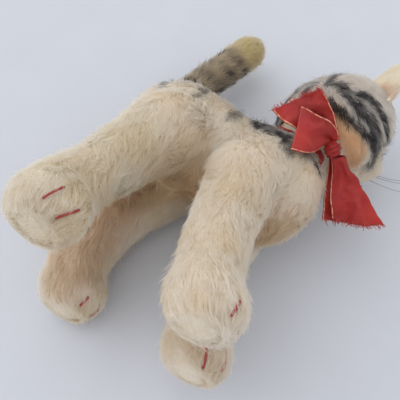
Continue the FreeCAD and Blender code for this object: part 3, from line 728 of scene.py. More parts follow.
def flow_body(p, n):
    d = np.tile(A(0, -0.35, -0.94), (len(p), 1))
    d[:, 0] += 1.5 * (noise(p, 9, 71) - 0.5) + 0.8 * (noise(p, 4, 171) - 0.5)
    d[:, 1] += 1.5 * (noise(p, 9, 72) - 0.5) + 0.8 * (noise(p, 4, 172) - 0.5)
    d[:, 0] += 0.35 * np.sign(p[:, 0]) * sstep(0.5, 0.9, n[:, 2])
    sole = sstep(-0.35, -0.9, n[:, 2]) * (p[:, 2] < 8)
    side = np.stack([np.where(p[:, 0] > 0, 1, -1) * 0.2, np.where(p[:, 1] > 0, -0.4, -1.0), np.zeros(len(p))], 1)
    return d * (1 - sole[:, None]) + side * sole[:, None]


def flow_head(p, n):
    h = to_head(p)
    face = sstep(-6, -17, h[:, 1])
    back = np.tile(A(0, -0.85, -0.4), (len(p), 1))
    back[:, 0] += 0.9 * (noise(p, 9, 73) - 0.5)
    back[:, 2] += 0.9 * (noise(p, 9, 74) - 0.5)
    out = h - A(0, -24, -2)
    out[:, 1] += 6
    out = unit(out)
    d = back * (1 - face[:, None]) + out * face[:, None]
    return d @ RH.T


def flow_tail(p, n):
    d = np.tile(TDIR, (len(p), 1))
    return d + np.stack([noise(p, 9, 75) - 0.5, noise(p, 9, 76) - 0.5, noise(p, 9, 78) - 0.5], 1) * 1.1


def flow_ear(p, n):
    d = np.tile(A(0.12, 0.1, 1.0), (len(p), 1))
    d[:, 0] *= np.sign(to_head(p)[:, 0])
    return (d + 0.5 * np.stack([noise(p, 6, 75) - 0.5, noise(p, 6, 76) - 0.5, noise(p, 6, 78) - 0.5], 1)) @ RH.T


def tangent(d, n):
    d = d - np.sum(d * n, 1, keepdims=True) * n
    return unit(d)


# ------------------------------------------------------------------ ears


def ear_local(q, side):
    """(distance in the ear's outline, signed offset from its curved mid surface), q in head axes"""
    x = q[..., 0] * side
    z = q[..., 2]
    a, b = A(17.4, 13.8), A(23.5, 37.6)
    ba = b - a
    pz = np.stack([x, z], -1)
    t = np.clip(((pz - a) @ ba) / (ba @ ba), 0, 1)
    d2 = np.linalg.norm(pz - (a + t[..., None] * ba), axis=-1) - (13.2 + (2.8 - 13.2) * t)
    mid = (pz - a) @ (A(-ba[1], ba[0]) / np.linalg.norm(ba))
    return d2, q[..., 1], mid, t


def ear_fn(side, back):
    def f(p):
        q = (p - HEAD.astype(np.float32)) @ RH
        d2, y, mid, t = ear_local(q, side)
        bowl = 0.012 * mid * mid
        if back:
            dy = np.abs(y - (1.6 + bowl)) - 1.15
            return smax(d2, dy, 1.6)
        dy = np.abs(y - (0.0 + bowl)) - 0.40
        return smax(d2 + 1.3, dy, 0.6)
    return f


# ------------------------------------------------------------------ claws, eyes and mouth: where the pile is parted
CLAWS = {
    "front_right": (-1, F_PAD, F_PAD_R, (((41, 6.6), (41, 12.8)), ((-4, 3.8), (-8, 11.0)))),
    "front_left": (1, F_PAD, F_PAD_R, (((56, 2.6), (75, 9.4)), ((19, 6.6), (41, 13.2)))),
    "rear_right": (-1, R_PAD, R_PAD_R, (((77, 6.7), (66, 14.8)), ((42, 4.5), (26, 12.6)))),
    "rear_left": (1, R_PAD, R_PAD_R, (((36, 4.0), (38, 8.8)), ((-12, 4.0), (-8, 12.0)))),
}


def claw_path(side, pad, pr, ends, off, n=15):
    """over the toe from end to end, following the pad at off mm outside its pile"""
    out = []
    for k in np.linspace(0, 1, n):
        a = math.radians(ends[0][0] + (ends[1][0] - ends[0][0]) * k)
        z = ends[0][1] + (ends[1][1] - ends[0][1]) * k
        dx, dy = -math.sin(a), -math.cos(a)
        zz = (z - pad[2]) / (pr[2] + off)
        q = math.sqrt(max(1 - zz * zz, 0))
        s = q / math.sqrt((dx / (pr[0] + off)) ** 2 + (dy / (pr[1] + off)) ** 2)
        out.append((side * pad[0] + dx * s, pad[1] + dy * s, z))
    return np.array(out)


CLAW_LINES = [claw_path(s, pd, pr, az, -0.2) for s, pd, pr, azs in CLAWS.values() for az in azs]
EYES = {s: hp(A(s * 11.2, -24.4 * math.sqrt(1 - (11.2 / 28.0) ** 2 - (4.5 / 26.4) ** 2), 4.5)) for s in (1, -1)}
EYE_N = {s: unit(A(s * 11.2 / 28.0 ** 2, -24.4 * math.sqrt(1 - (11.2 / 28.0) ** 2 - (4.5 / 26.4) ** 2) / 24.4 ** 2, 4.5 / 26.4 ** 2)) @ RH.T for s in (1, -1)}
MOUTH = [hp([(0, -30.2, -5.6), (0, -30.0, -8.4)]), hp([(0.75, -30.1, -8.7), (3.2, -30.4, -11.0), (5.8, -29.6, -10.6)]),
         hp([(-0.75, -30.1, -8.7), (-3.2, -30.4, -11.0), (-5.8, -29.6, -10.6)])]


def parting(p):
    """distance to the nearest stitch that the pile is parted for"""
    d = np.full(len(p), 1e9)
    near = p[:, 2] < 20
    if near.any():
        dd = np.min([poly_dist(p[near], c)[0] for c in CLAW_LINES], axis=0)
        d[near] = dd
    return d


# ------------------------------------------------------------------ skins with tufts, and the pile on them


def seeds_tree(P):
    t = KDTree(len(P))
    for i, c in enumerate(P):
        t.insert(c, i)
    t.balance()
    return t


def sample(V, Q, per_mm2, gen):
    """points spread evenly over a quad mesh"""
    tri = np.concatenate([Q[:, [0, 1, 2]], Q[:, [0, 2, 3]]])
    a, b, c = V[tri[:, 0]], V[tri[:, 1]], V[tri[:, 2]]
    area = 0.5 * np.linalg.norm(np.cross(b - a, c - a), axis=1)
    n = int(area.sum() * per_mm2)
    pick = np.searchsorted(np.cumsum(area), gen.random(n) * area.sum())
    pick = np.minimum(pick, len(tri) - 1)
    u, v = gen.random(n), gen.random(n)
    f = u + v > 1
    u[f], v[f] = 1 - u[f], 1 - v[f]
    return (a[pick] + (b - a)[pick] * u[:, None] + (c - a)[pick] * v[:, None]), area.sum()


def tufted(V, Q, fn, flow, seeds, depth=0.5, keep=None):
    """Presses the locks of the combed pile into the surface: a groove between neighbouring locks, and
    each lock lifting a little towards its tip."""
    n = grad(fn, V).astype(float)
    fl = tangent(flow(V.astype(float), n), n)
    tree = seeds_tree(seeds)
    rise = np.zeros(len(V))
    # locks are longer than wide: squash the search space along the lay
    for i in range(len(V)):
        (c1, i1, d1), (c2, i2, d2) = tree.find_n(V[i], 2)
        gap = d2 - d1
        along = float(np.dot(V[i] - seeds[i1], fl[i]))
        rise[i] = min(gap / 1.3, 1.0) * 0.9 - 0.5 + 0.22 * along
    amp = depth * (0.7 + 0.6 * noise(V, 7, 3))
    if keep is not None:
        amp = amp * keep(V.astype(float), n)
    return V + n * (amp * np.clip(rise, -0.9, 1.2))[:, None]


def fur_strands(roots, fn, flow, color, seeds, length, height, gen, clump=0.6, steps=6, radius=0.085):
    """Hair laid over the surface: it leaves the cloth steeply, lies over along the lay, gathers into locks."""
    def path(R, L, Hh, jit):
        n = grad(fn, R.astype(np.float32)).astype(float)
        fl = tangent(flow(R, n), n)
        sd = np.cross(n, fl)
        a = jit[:, 0] * 0.30
        d = unit(fl * np.cos(a)[:, None] + sd * np.sin(a)[:, None])
        pts = [R]
        p = R.copy()
        for k in range(1, steps):
            s = k / (steps - 1.0)
            lift = math.radians(64 * (1 - s) ** 1.2 + 7)
            p = p + (d * math.cos(lift) + n * math.sin(lift)) * (L / (steps - 1))[:, None]
            q = p.astype(np.float32)
            g = grad(fn, q).astype(float)
            want = Hh * s ** 0.75
            have = fn(q).astype(float)
            move = np.clip(want - have, -2.0, 2.5) * (0.72 if k < steps - 1 else 0.5)
            p = p + g * move[:, None]
            d = tangent(d + 0.25 * tangent(flow(p, g), g), g)
            n = g
            pts.append(p.copy())
        return np.stack(pts, 1)

    m = len(roots)
    L = length * (0.72 + 0.5 * gen.random(m)) * (0.85 + 0.3 * noise(roots, 9, 91))
    Hh = height * (0.45 + 0.85 * gen.random(m) ** 1.3) * (0.62 + 0.76 * noise(roots, 5, 92))
    P = path(roots, L, Hh, gen.normal(size=(m, 1)))
    ms = len(seeds)
    S = path(seeds, np.full(ms, length), np.full(ms, height * 0.95), gen.normal(size=(ms, 1)) * 1.2)
    tree = seeds_tree(seeds)
    near = np.array([tree.find(r)[1] for r in roots])
    w = np.linspace(0, 1, steps) ** 1.25
    cl = clump * (0.55 + 0.6 * gen.random(m))
    off = P - P[:, :1]
    guide = S[near] + (P[:, :1] - S[near][:, :1]) * (1 - 0.72 * w)[None, :, None]
    P = P + (guide - P) * (cl[:, None] * w[None])[:, :, None]
    # a little wave in each fibre and each lock
    n = grad(fn, roots.astype(np.float32)).astype(float)
    side = unit(np.cross(n, off[:, -1] + 1e-6))
    ph = gen.random(m) * 6.28 + noise(seeds, 3, 5)[near] * 6.28
    k = np.arange(steps)
    wav = np.sin(ph[:, None] + k[None] * 1.45) * (k / (steps - 1.0))[None] * (0.16 + 0.30 * gen.random(m))[:, None]
    P = P + side[:, None, :] * wav[..., None]
    stray = gen.random(m) < 0.07
    P[stray] += (n[stray] * 1.3 + gen.normal(size=(stray.sum(), 3)) * 0.6)[:, None, :] * w[None, :, None]
    return P, color(P[:, steps // 2], n)


def hair_object(name, P, col, body, radius, mat):
    m, k, _ = P.shape
    hc = bpy.data.hair_curves.new(name)
    hc.add_curves([k] * m)
    hc.position_data.foreach_set("vector", to_m(P.reshape(-1, 3)).astype(np.float32).ravel())
    r = hc.attributes.get("radius") or hc.attributes.new("radius", "FLOAT", "POINT")
    prof = np.array([1.0, 1.05, 1.0, 0.85, 0.62, 0.22])[:k]
    r.data.foreach_set("value", (np.tile(prof, m) * radius / 1000.0).astype(np.float32))
    at = hc.attributes.new("fur", "FLOAT_COLOR", "CURVE")
    c = np.ones((m, 4), np.float32)
    c[:, :3] = col
    at.data.foreach_set("color", c.ravel())
    hc.materials.append(mat)
    ob = bpy.data.objects.new(name, hc)
    bpy.context.scene.collection.objects.link(ob)
    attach(ob, body)
    return ob

# ------------------------------------------------------------------ threads


def tube(pts, radii, ring=8, cap=True):
    """closed tube through points (mm)"""
    pts = np.asarray(pts, float)
    n = len(pts)
    radii = np.broadcast_to(np.asarray(radii, float), (n,))
    t = unit(np.gradient(pts, axis=0))
    ref = A(0, 0, 1) if abs(t[0, 2]) < 0.9 else A(1, 0, 0)
    u = unit(np.cross(t[0], ref))
    V = []
    for i in range(n):
        u = unit(u - (u @ t[i]) * t[i])
        w = np.cross(t[i], u)
        a = np.arange(ring) * 2 * math.pi / ring
        V.append(pts[i] + radii[i] * (np.cos(a)[:, None] * u + np.sin(a)[:, None] * w))
    V = np.concatenate(V)
    F = []
    for i in range(n - 1):
        for k in range(ring):
            a, b = i * ring + k, i * ring + (k + 1) % ring
            F.append([a, b, b + ring, a + ring])
    if cap:
        F.append(list(range(ring))[::-1])
        F.append([(n - 1) * ring + k for k in range(ring)])
    return V, F


def smooth_path(pts, n):
    """Catmull-Rom through points, n samples"""
    P = np.asarray(pts, float)
    P = np.vstack([2 * P[0] - P[1], P, 2 * P[-1] - P[-2]])
    m = len(P) - 3
    out = []
    for s in np.linspace(0, m - 1e-6, n):
        i = int(s)
        t = s - i
        a, b, c, d = P[i], P[i + 1], P[i + 2], P[i + 3]
        out.append(0.5 * ((2 * b) + (c - a) * t + (2 * a - 5 * b + 4 * c - d) * t * t + (3 * b - a - 3 * c + d) * t ** 3))
    return np.array(out)


def join(parts):
    V, F, o = [], [], 0
    for v, f in parts:
        V.append(v)
        F += [[i + o for i in q] for q in f]
        o += len(v)
    return np.concatenate(V), F


def twisted(pts, r, plies=3, pitch=2.6, ring=7, taper=True, phase=0.0):
    """several plies wound round a path"""
    pts = np.asarray(pts, float)
    t = unit(np.gradient(pts, axis=0))
    ref = A(0, 0, 1) if abs(t[0, 2]) < 0.9 else A(1, 0, 0)
    u = unit(np.cross(t[0], ref))
    us = []
    for i in range(len(pts)):
        u = unit(u - (u @ t[i]) * t[i])
        us.append(u)
    us = np.array(us)
    ws = np.cross(t, us)
    s = np.concatenate([[0], np.cumsum(np.linalg.norm(np.diff(pts, axis=0), axis=1))])
    k = np.ones(len(pts))
    if taper:
        k = np.minimum(1, np.minimum(s, s[-1] - s) / (r * 1.2) * 0.6 + 0.4)
    out = []
    for j in range(plies):
        a = s / pitch * 2 * math.pi + j * 2 * math.pi / plies + phase
        c = pts + (np.cos(a)[:, None] * us + np.sin(a)[:, None] * ws) * (r * 0.46 * k)[:, None]
        out.append(tube(c, r * 0.56 * k, ring))
    return join(out)


def solid_object(name, V, F, mat, body, replaces=()):
    ob = mesh_object(name, V, F)
    dress(ob, mat)
    if replaces:
        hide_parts(*replaces)
    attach(ob, body)
    return ob


# ------------------------------------------------------------------ ribbon sheets


def grid_patch(ctrl, nu, nv):
    """smooth sheet through a grid of control points: rows along the ribbon, columns across it"""
    C = np.asarray(ctrl, float)
    rows = np.stack([smooth_path(r, nu) for r in C])                       # R x nu
    return np.stack([smooth_path(rows[:, j], nv) for j in range(nu)], 1)   # nv x nu


def sheet(name, G, width, length, thick=0.32, wear=None, v0=0.0, push=None):
    """Closed thin cloth from a grid of points G (along, across). UV in mm, distance in from the woven edges, wear."""
    nv, nu, _ = G.shape
    du = np.gradient(G, axis=1)
    dv = np.gradient(G, axis=0)
    n = unit(np.cross(du, dv))
    if push is not None:
        G = G + n * push[..., None]
    up, dn = G + n * thick / 2, G - n * thick / 2
    V = np.concatenate([up.reshape(-1, 3), dn.reshape(-1, 3)])
    m = nv * nu
    idx = np.arange(m).reshape(nv, nu)
    a, b, c, d = idx[:-1, :-1].ravel(), idx[:-1, 1:].ravel(), idx[1:, 1:].ravel(), idx[1:, :-1].ravel()
    F = [np.stack([a, b, c, d], 1), np.stack([a + m, d + m, c + m, b + m], 1)]
    loop = np.concatenate([idx[0, :], idx[1:, -1], idx[-1, -2::-1], idx[-2:0:-1, 0]])
    nx = np.roll(loop, -1)
    F.append(np.stack([nx, loop, loop + m, nx + m], 1))
    F = np.concatenate(F)
    ob = mesh_object(name, V, F)
    U = np.tile(np.linspace(0, width, nu), nv)
    W = np.repeat(np.linspace(v0, v0 + length, nv), nu)
    uu, ww = np.concatenate([U, U]), np.concatenate([W, W])
    layer = ob.data.uv_layers.new(name="cloth")
    li = np.empty(len(ob.data.loops), np.int32)
    ob.data.loops.foreach_get("vertex_index", li)
    layer.data.foreach_set("uv", np.stack([uu[li], ww[li]], 1).astype(np.float32).ravel())
    e = np.minimum(uu, width - uu)
    at = ob.data.attributes.new("edge", "FLOAT", "POINT")
    at.data.foreach_set("value", e.astype(np.float32))
    wv = np.zeros(len(V)) if wear is None else np.concatenate([wear.ravel(), wear.ravel()])
    at = ob.data.attributes.new("wear", "FLOAT", "POINT")
    at.data.foreach_set("value", wv.astype(np.float32))
    return ob, G


VIEW = unit(A(0.776, 0.244, 0.582))      # from the side the bow is seen from, into the cat

LT = [[(-14.8, -45.7, 100.2), (-14.9, -47.4, 101.9), (-15.4, -49.7, 102.7), (-16.5, -51.8, 102.0), (-17.2, -50.8, 100.0), (-16.5, -48.8, 98.8), (-15.9, -46.7, 98.8)],
      [(-10.8, -47.4, 97.4), (-10.8, -50.4, 99.3), (-11.8, -53.8, 100.3), (-13.2, -56.2, 99.6), (-14.1, -54.3, 97.5), (-13.0, -51.4, 96.8), (-12.6, -49.0, 96.4)],
      [(-6.5, -49.1, 93.5), (-6.6, -53.4, 95.4), (-8.0, -58.3, 96.9), (-10.1, -61.6, 96.8), (-10.8, -58.9, 94.5), (-8.6, -54.7, 93.4), (-8.2, -51.2, 92.4)],
      [(-2.0, -50.9, 89.2), (-2.1, -56.2, 91.0), (-3.8, -62.8, 92.7), (-6.9, -67.2, 93.2), (-7.3, -63.5, 90.5), (-4.7, -58.6, 89.3), (-4.0, -53.4, 88.1)],
      [(1.5, -52.7, 85.7), (1.3, -58.7, 87.9), (-0.7, -66.9, 89.8), (-4.6, -71.9, 90.1), (-4.8, -67.4, 87.1), (-1.7, -61.4, 86.3), (-1.2, -55.7, 85.1)],
      [(4.3, -54.0, 82.6), (3.9, -61.4, 84.9), (1.9, -70.9, 86.5), (-3.0, -77.0, 87.3), (-2.3, -71.0, 83.6), (0.6, -63.8, 83.6), (1.0, -57.6, 82.6)]]
UT = [[(-22.2, -16.0, 104.4), (-23.8, -19.4, 109.1), (-26.5, -23.5, 112.7), (-30.0, -27.4, 114.7), (-33.3, -31.5, 115.6)],
      [(-22.5, -21.2, 101.8), (-23.6, -24.2, 107.7), (-25.8, -27.8, 111.6), (-28.6, -31.5, 113.2), (-30.6, -35.6, 113.7)],
      [(-21.7, -25.9, 100.7), (-22.4, -28.8, 106.2), (-24.1, -32.1, 109.8), (-25.9, -35.6, 111.2), (-27.2, -39.7, 111.3)],
      [(-19.5, -31.4, 101.1), (-20.3, -34.2, 105.5), (-21.6, -37.1, 108.0), (-22.6, -40.1, 108.7), (-23.1, -44.1, 108.4)],
      [(-17.4, -39.3, 102.3), (-18.3, -41.0, 104.5), (-19.1, -42.6, 105.8), (-19.8, -44.5, 106.2), (-19.9, -47.1, 105.7)]]
LF = [[(-28.1, -27.7, 107.5), (-27.0, -29.0, 102.3), (-26.3, -30.5, 96.2), (-26.4, -31.8, 89.2), (-26.5, -33.0, 82.5)],
      [(-28.4, -31.6, 106.5), (-27.6, -32.8, 101.0), (-26.5, -34.6, 95.8), (-25.5, -36.3, 90.4), (-24.9, -37.1, 85.1)],
      [(-27.9, -36.2, 106.4), (-26.6, -36.7, 101.9), (-25.0, -38.0, 98.4), (-22.8, -39.3, 95.0), (-21.1, -40.3, 92.2)],
      [(-27.0, -40.7, 106.9), (-25.1, -40.3, 103.3), (-23.2, -40.7, 101.0), (-21.5, -41.3, 99.3), (-20.1, -42.4, 98.8)],
      [(-24.2, -44.4, 106.4), (-22.3, -43.2, 105.1), (-21.1, -42.7, 103.5), (-20.3, -42.9, 102.4), (-19.7, -43.8, 101.6)],
      [(-20.2, -46.6, 104.9), (-19.7, -44.9, 105.1), (-19.1, -43.9, 104.6), (-18.9, -44.3, 103.6), (-18.9, -45.0, 102.6)]]
KNOT = A(-18.2, -46.0, 101.0)


def crumple(G, amp, seed, fade=None, folds=0.0, nfold=5.0):
    """gentle creasing of a sheet, and folds that run out of the knot (last row is at the knot)"""
    nv, nu, _ = G.shape
    P = G.reshape(-1, 3)
    w = ((noise(P, 5.5, seed) - 0.5) * 2 + (noise(P, 2.4, seed + 1) - 0.5) * 0.8).reshape(nv, nu) * amp
    v = np.linspace(0, 1, nv)[:, None]
    u = np.linspace(0, 1, nu)[None]
    w = w + folds * np.sin(u * math.pi * nfold + 0.8 * np.sin(v * 4)) * sstep(0.25, 1.0, v) * (1 - 0.55 * v)
    return w if fade is None else w * fade


def fray(name, edge_pts, outward, n, gen, lo=0.8, hi=3.6):
    """loose warp threads past a cut end: edge_pts along the end, outward the direction they leave in"""
    parts = []
    E = smooth_path(edge_pts, 200)
    O = unit(smooth_path(outward, 200))
    for k in range(n):
        i = int(gen.integers(2, 198))
        L = lo + (hi - lo) * gen.random() ** 2.2
        d = unit(O[i] + gen.normal(size=3) * 0.32)
        side = unit(np.cross(d, gen.normal(size=3)))
        s = np.linspace(0, 1, 6)
        bend = gen.normal() * 0.35 * L
        p = E[i] - O[i] * 0.7 + np.outer(s * (L + 0.7), d) + np.outer(s ** 2 * bend, side)
        p += side * 0.08 * np.sin(s * 9 + gen.random() * 6)[:, None]
        parts.append(tube(p, 0.075 + 0.05 * gen.random(), 5))
    V, F = join(parts)
    return V, F

# ================================================================== build
# ---- skins of body, head and tail
H_BODY, H_HEAD, H_TAIL = ((0.95, 0.85, 0.8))
DENS = 3.0


def seeds_on(V, Q, fn, per_mm2, seed):
    pts, _ = sample(V, Q, per_mm2, np.random.default_rng(seed))
    return pts.astype(float)


def body_keep(p, n):
    t = (p - NECK) @ AXIS
    k = sstep(0.3, 1.6, -t) * sstep(1.0, 3.0, p[:, 2])
    return k


def head_keep(p, n):
    h = to_head(p)
    k = sstep(0.3, 1.6, (p - NECK) @ AXIS)
    k *= sstep(2.5, 6.0, np.linalg.norm(h - A(0, -28, -5), axis=1))
    for s in (1, -1):
        k *= sstep(4.2, 6.5, np.linalg.norm(p - EYES[s], axis=1))
    return k


bV, bQ = surface(body_skin, (-45, -51, -1), (45, 50, 121), H_BODY)
hV, hQ = surface(head_skin, (-38, -72, 101), (28, -8, 160), H_HEAD)
tV, tQ = surface(tail_skin, (-19, 6, 102), (12, 48, 175), H_TAIL)

b_seeds = seeds_on(bV, bQ, body_skin, 0.17, 21)
h_seeds = seeds_on(hV, hQ, head_skin, 0.20, 22)
t_seeds = seeds_on(tV, tQ, tail_skin, 0.24, 23)

bV2 = tufted(bV, bQ, body_skin, flow_body, b_seeds, 0.55, body_keep)
hV2 = tufted(hV, hQ, head_skin, flow_head, h_seeds, 0.45, head_keep)
tV2 = tufted(tV, tQ, tail_skin, flow_tail, t_seeds, 0.42)


def skin(name, V, V0, Q, color, fn, mat, body, reps):
    ob = mesh_object(name, V, Q)
    n = grad(fn, V0.astype(np.float32)).astype(float)
    set_color(ob, "fur", color(V0.astype(float), n))
    dress(ob, mat)
    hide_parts(*reps)
    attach(ob, body)
    return ob


skin("body_mohair", bV2, bV, bQ, body_color, body_skin, M_FUR, "body", ["body_cover"])
skin("head_mohair", hV2, hV, hQ, head_color, head_skin, M_FUR, "head", ["head_cover"])
skin("tail_mohair", tV2, tV, tQ, tail_color, tail_skin, M_FUR, "tail", ["tail_cover"])

ear_parts = {}
for s, nm in ((1, "left"), (-1, "right")):
    c = hp(A(s * 20, 1, 26))
    f = ear_fn(s, True)
    V, Q = surface(f, c - 21, c + 21, 0.75)
    sd = seeds_on(V, Q, f, 0.30, 30 + s)
    V2 = tufted(V, Q, f, flow_ear, sd, 0.28)
    skin("ear_mohair_" + nm, V2, V, Q, ear_color, f, M_FUR, "head", ["ear_" + nm])
    ear_parts[s] = (V, Q, sd, f)
    fl_ = ear_fn(s, False)
    V, Q = surface(fl_, c - 21, c + 21, 0.45)
    q = to_head(V)
    V = V + (0.12 * (noise(V, 1.5, 4) - 0.5))[:, None] * grad(fl_, V.astype(np.float32))
    ob = mesh_object("ear_velvet_" + nm, V, Q)
    dress(ob, M_LINING)
    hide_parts("ear_lining_" + nm)
    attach(ob, "head")

# ---- the pile itself
g_ = np.random.default_rng(77)
R, area = sample(bV, bQ, DENS, g_)
R = R.astype(float)
n0 = grad(body_skin, R.astype(np.float32)).astype(float)
t_ = (R - NECK) @ AXIS
rad = np.linalg.norm(R - NECK - t_[:, None] * AXIS, axis=1)
sole = (n0[:, 2] < -0.75) & (R[:, 2] < 2.5)
keep = ~((t_ > -1.2) & (rad < 14.0)) & (parting(R) > 1.0)
keep &= ~(tail_skin(R.astype(np.float32)) < 0.8)
keep &= ~(sole & (g_.random(len(R)) < 0.35))
R = R[keep]
P, C = fur_strands(R, body_skin, flow_body, body_color, b_seeds, 7.6, 2.7, g_, 0.62)
sole = sole[keep]
# pile under a sole is pressed short and flat
P[sole] = P[sole][:, :1] + (P[sole] - P[sole][:, :1]) * 0.45
P[..., 2] = np.maximum(P[..., 2], 0.10)
ok = np.min([parting(P[:, k]) for k in (2, 3, 4, 5)], axis=0) > 0.62
P, C = P[ok], C[ok]
hair_object("body_fibres", P, C, "body", 0.085, M_HAIR)

R, area = sample(hV, hQ, DENS * 1.05, g_)
R = R.astype(float)
h = to_head(R)
t_ = (R - NECK) @ AXIS
rad = np.linalg.norm(R - NECK - t_[:, None] * AXIS, axis=1)
keep = ~((t_ < 1.2) & (rad < 14.0))
for s in (1, -1):
    keep &= np.linalg.norm(R - EYES[s], axis=1) > 4.9
    keep &= ear_parts[s][3](R.astype(np.float32)) > -0.2
keep &= ~((np.abs(h[:, 0]) < 3.9) & (h[:, 2] < -0.6) & (h[:, 2] > -5.8) & (h[:, 1] < -24))
mo = np.min([poly_dist(R, m)[0] for m in MOUTH], axis=0)
keep &= mo > 1.5
R, h, mo = R[keep], h[keep], mo[keep]
P, C = fur_strands(R, head_skin, flow_head, head_color, h_seeds, 5.8, 2.4, g_, 0.58)
muzzle = sstep(15, 9, np.linalg.norm(h - A(0, -27, -7), axis=1))
eye_d = np.min([np.linalg.norm(R - EYES[s], axis=1) for s in (1, -1)], axis=0)
short = 1 - 0.62 * np.maximum(muzzle, sstep(9, 5.5, eye_d))
P = P[:, :1] + (P - P[:, :1]) * short[:, None, None]
ok = np.ones(len(P), bool)
for s in (1, -1):
    for k in (2, 3, 4, 5):
        d = P[:, k] - EYES[s]
        out = d @ EYE_N[s]
        rr = np.linalg.norm(d - out[:, None] * EYE_N[s], axis=1)
        ok &= ~((rr < 4.4) & (out > -1.5))
P, C = P[ok], C[ok]
hair_object("head_fibres", P, C, "head", 0.08, M_HAIR)

R, area = sample(tV, tQ, DENS * 1.1, g_)
R = R.astype(float)
keep = ((R - TAIL_A) @ TDIR) > -1.5
R = R[keep]
P, C = fur_strands(R, tail_skin, flow_tail, tail_color, t_seeds, 5.4, 2.9, g_, 0.5)
hair_object("tail_fibres", P, C, "tail", 0.08, M_HAIR)

for s, nm in ((1, "left"), (-1, "right")):
    V, Q, sd, f = ear_parts[s]
    R, area = sample(V, Q, DENS * 1.1, g_)
    R = R.astype(float)
    q = to_head(R)
    nn = grad(f, R.astype(np.float32)).astype(float) @ RH
    keep = (nn[:, 1] > -0.25) & (head_skin(R.astype(np.float32)) > -0.3)
    R = R[keep]
    P, C = fur_strands(R, f, flow_ear, ear_color, sd, 4.6, 1.2, g_, 0.5)
    hair_object("ear_fibres_" + nm, P, C, "head", 0.075, M_HAIR)

# ---- claws, mouth, nose, closing stitches
for nm, (s, pd, pr, azs) in CLAWS.items():
    parts = []
    for i, az in enumerate(azs):
        c = claw_path(s, pd, pr, az, 0.0, 40)
        c = c + unit(c - A(s * pd[0], pd[1], pd[2])) * (-0.75)
        c[:2] -= unit(c[:2] - A(s * pd[0], pd[1], pd[2])) * 0.7
        c[-2:] -= unit(c[-2:] - A(s * pd[0], pd[1], pd[2])) * 0.7
        parts.append(twisted(c, 0.50, 4, 2.6, 6, phase=i * 1.3))
    V, F = join(parts)
    solid_object("claw_floss_" + nm, V, F, M_CLAW, "body", ["claws_" + nm])

parts = []
for i, c in enumerate(MOUTH):
    parts.append(twisted(smooth_path(c, 26), 0.48, 3, 2.4, 6, phase=i))
V, F = join(parts)
solid_object("mouth_floss", V, F, M_NOSE, "head", ["mouth_stitching"])

parts = []
gn = np.random.default_rng(9)
for i, z in enumerate(np.linspace(-1.25, -5.15, 12)):
    k = (z + 1.2) / -4.0
    wx = 3.45 * (1 - k) + 0.8 * k
    xs = np.linspace(-wx, wx, 12)
    c = np.stack([xs, -30.25 + 0.9 * (np.abs(xs) / 3.4) ** 2.2 + 0.25 * k, np.full(12, z) + 0.10 * (xs / 3.4) ** 2], 1)
    c[0, 1] += 0.9
    c[-1, 1] += 0.9
    parts.append(tube(hp(c), 0.235 + 0.02 * gn.random(), 7))
xs = np.linspace(-3.3, 3.3, 12)
c = np.stack([xs, -30.30 + 0.9 * (np.abs(xs) / 3.4) ** 2.2, np.full(12, -0.95)], 1)
parts.append(twisted(hp(c), 0.34, 3, 2.0, 6))
V, F = join(parts)
solid_object("nose_floss", V, F, M_NOSE, "head", ["nose_stitching"])

lo, hi = [np.array(v) * 1000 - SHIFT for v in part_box("closing_stitches")]
parts = []
for i in range(7):
    y = lo[1] + 0.3 + (hi[1] - lo[1] - 1.2) * i / 6.0
    probe = np.array([[0.0, y, z] for z in np.linspace(50, 85, 141)], np.float32)
    zz = probe[np.argmax(body_env(probe) + SKIN - 0.3 < 0), 2]
    c = np.array([(-1.7, y - 0.1, zz + 0.9), (-1.2, y, zz - 0.15), (0, y + 0.3, zz - 0.35), (1.2, y + 0.5, zz - 0.15), (1.7, y + 0.7, zz + 0.9)])
    parts.append(twisted(smooth_path(c, 16), 0.30, 2, 1.6, 6))
V, F = join(parts)
solid_object("closing_seam", V, F, M_SEW, "body", ["closing_stitches"])

# ---- eyes
for s, nm in ((1, "left"), (-1, "right")):
    c, n = EYES[s], EYE_N[s]
    up = unit(A(0, 0, 1) - n[2] * n)
    right = np.cross(up, n)
    V, F, UV = [], [], []
    ring = 40
    rs = [0.0, 0.12, 0.25, 0.4, 0.55, 0.68, 0.8, 0.89, 0.95, 0.985, 1.0]
    prof = [(r, 2.45 * math.sqrt(max(1 - r * r, 0))) for r in rs[1:]] + [(r, -1.6 * math.sqrt(max(1 - r * r, 0))) for r in rs[-2:0:-1]]
    V.append(c + n * 2.45)
    UV.append((0, 0))
    for r, hgt in prof:
        for k in range(ring):
            a = 2 * math.pi * k / ring
            V.append(c + 4.2 * r * (math.cos(a) * right + math.sin(a) * up) + n * hgt)
            UV.append((r * math.cos(a), r * math.sin(a)) if hgt >= 0 else (0.99 * math.cos(a), 0.99 * math.sin(a)))
    V.append(c - n * 1.6)
    UV.append((0.99, 0))
    F += [[0, 1 + k, 1 + (k + 1) % ring] for k in range(ring)]
    for j in range(len(prof) - 1):
        for k in range(ring):
            a, b = 1 + j * ring + k, 1 + j * ring + (k + 1) % ring
            F.append([a, a + ring, b + ring, b])
    last = len(V) - 1
    F += [[last, last - ring + (k + 1) % ring, last - ring + k] for k in range(ring)]
    ob = mesh_object("eye_lens_" + nm, np.array(V), F)
    lay = ob.data.uv_layers.new(name="cloth")
    UV = np.array(UV)
    for l in ob.data.loops:
        lay.data[l.index].uv = UV[l.vertex_index]
    dress(ob, M_EYE)
    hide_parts("eye_" + nm)
    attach(ob, "head")

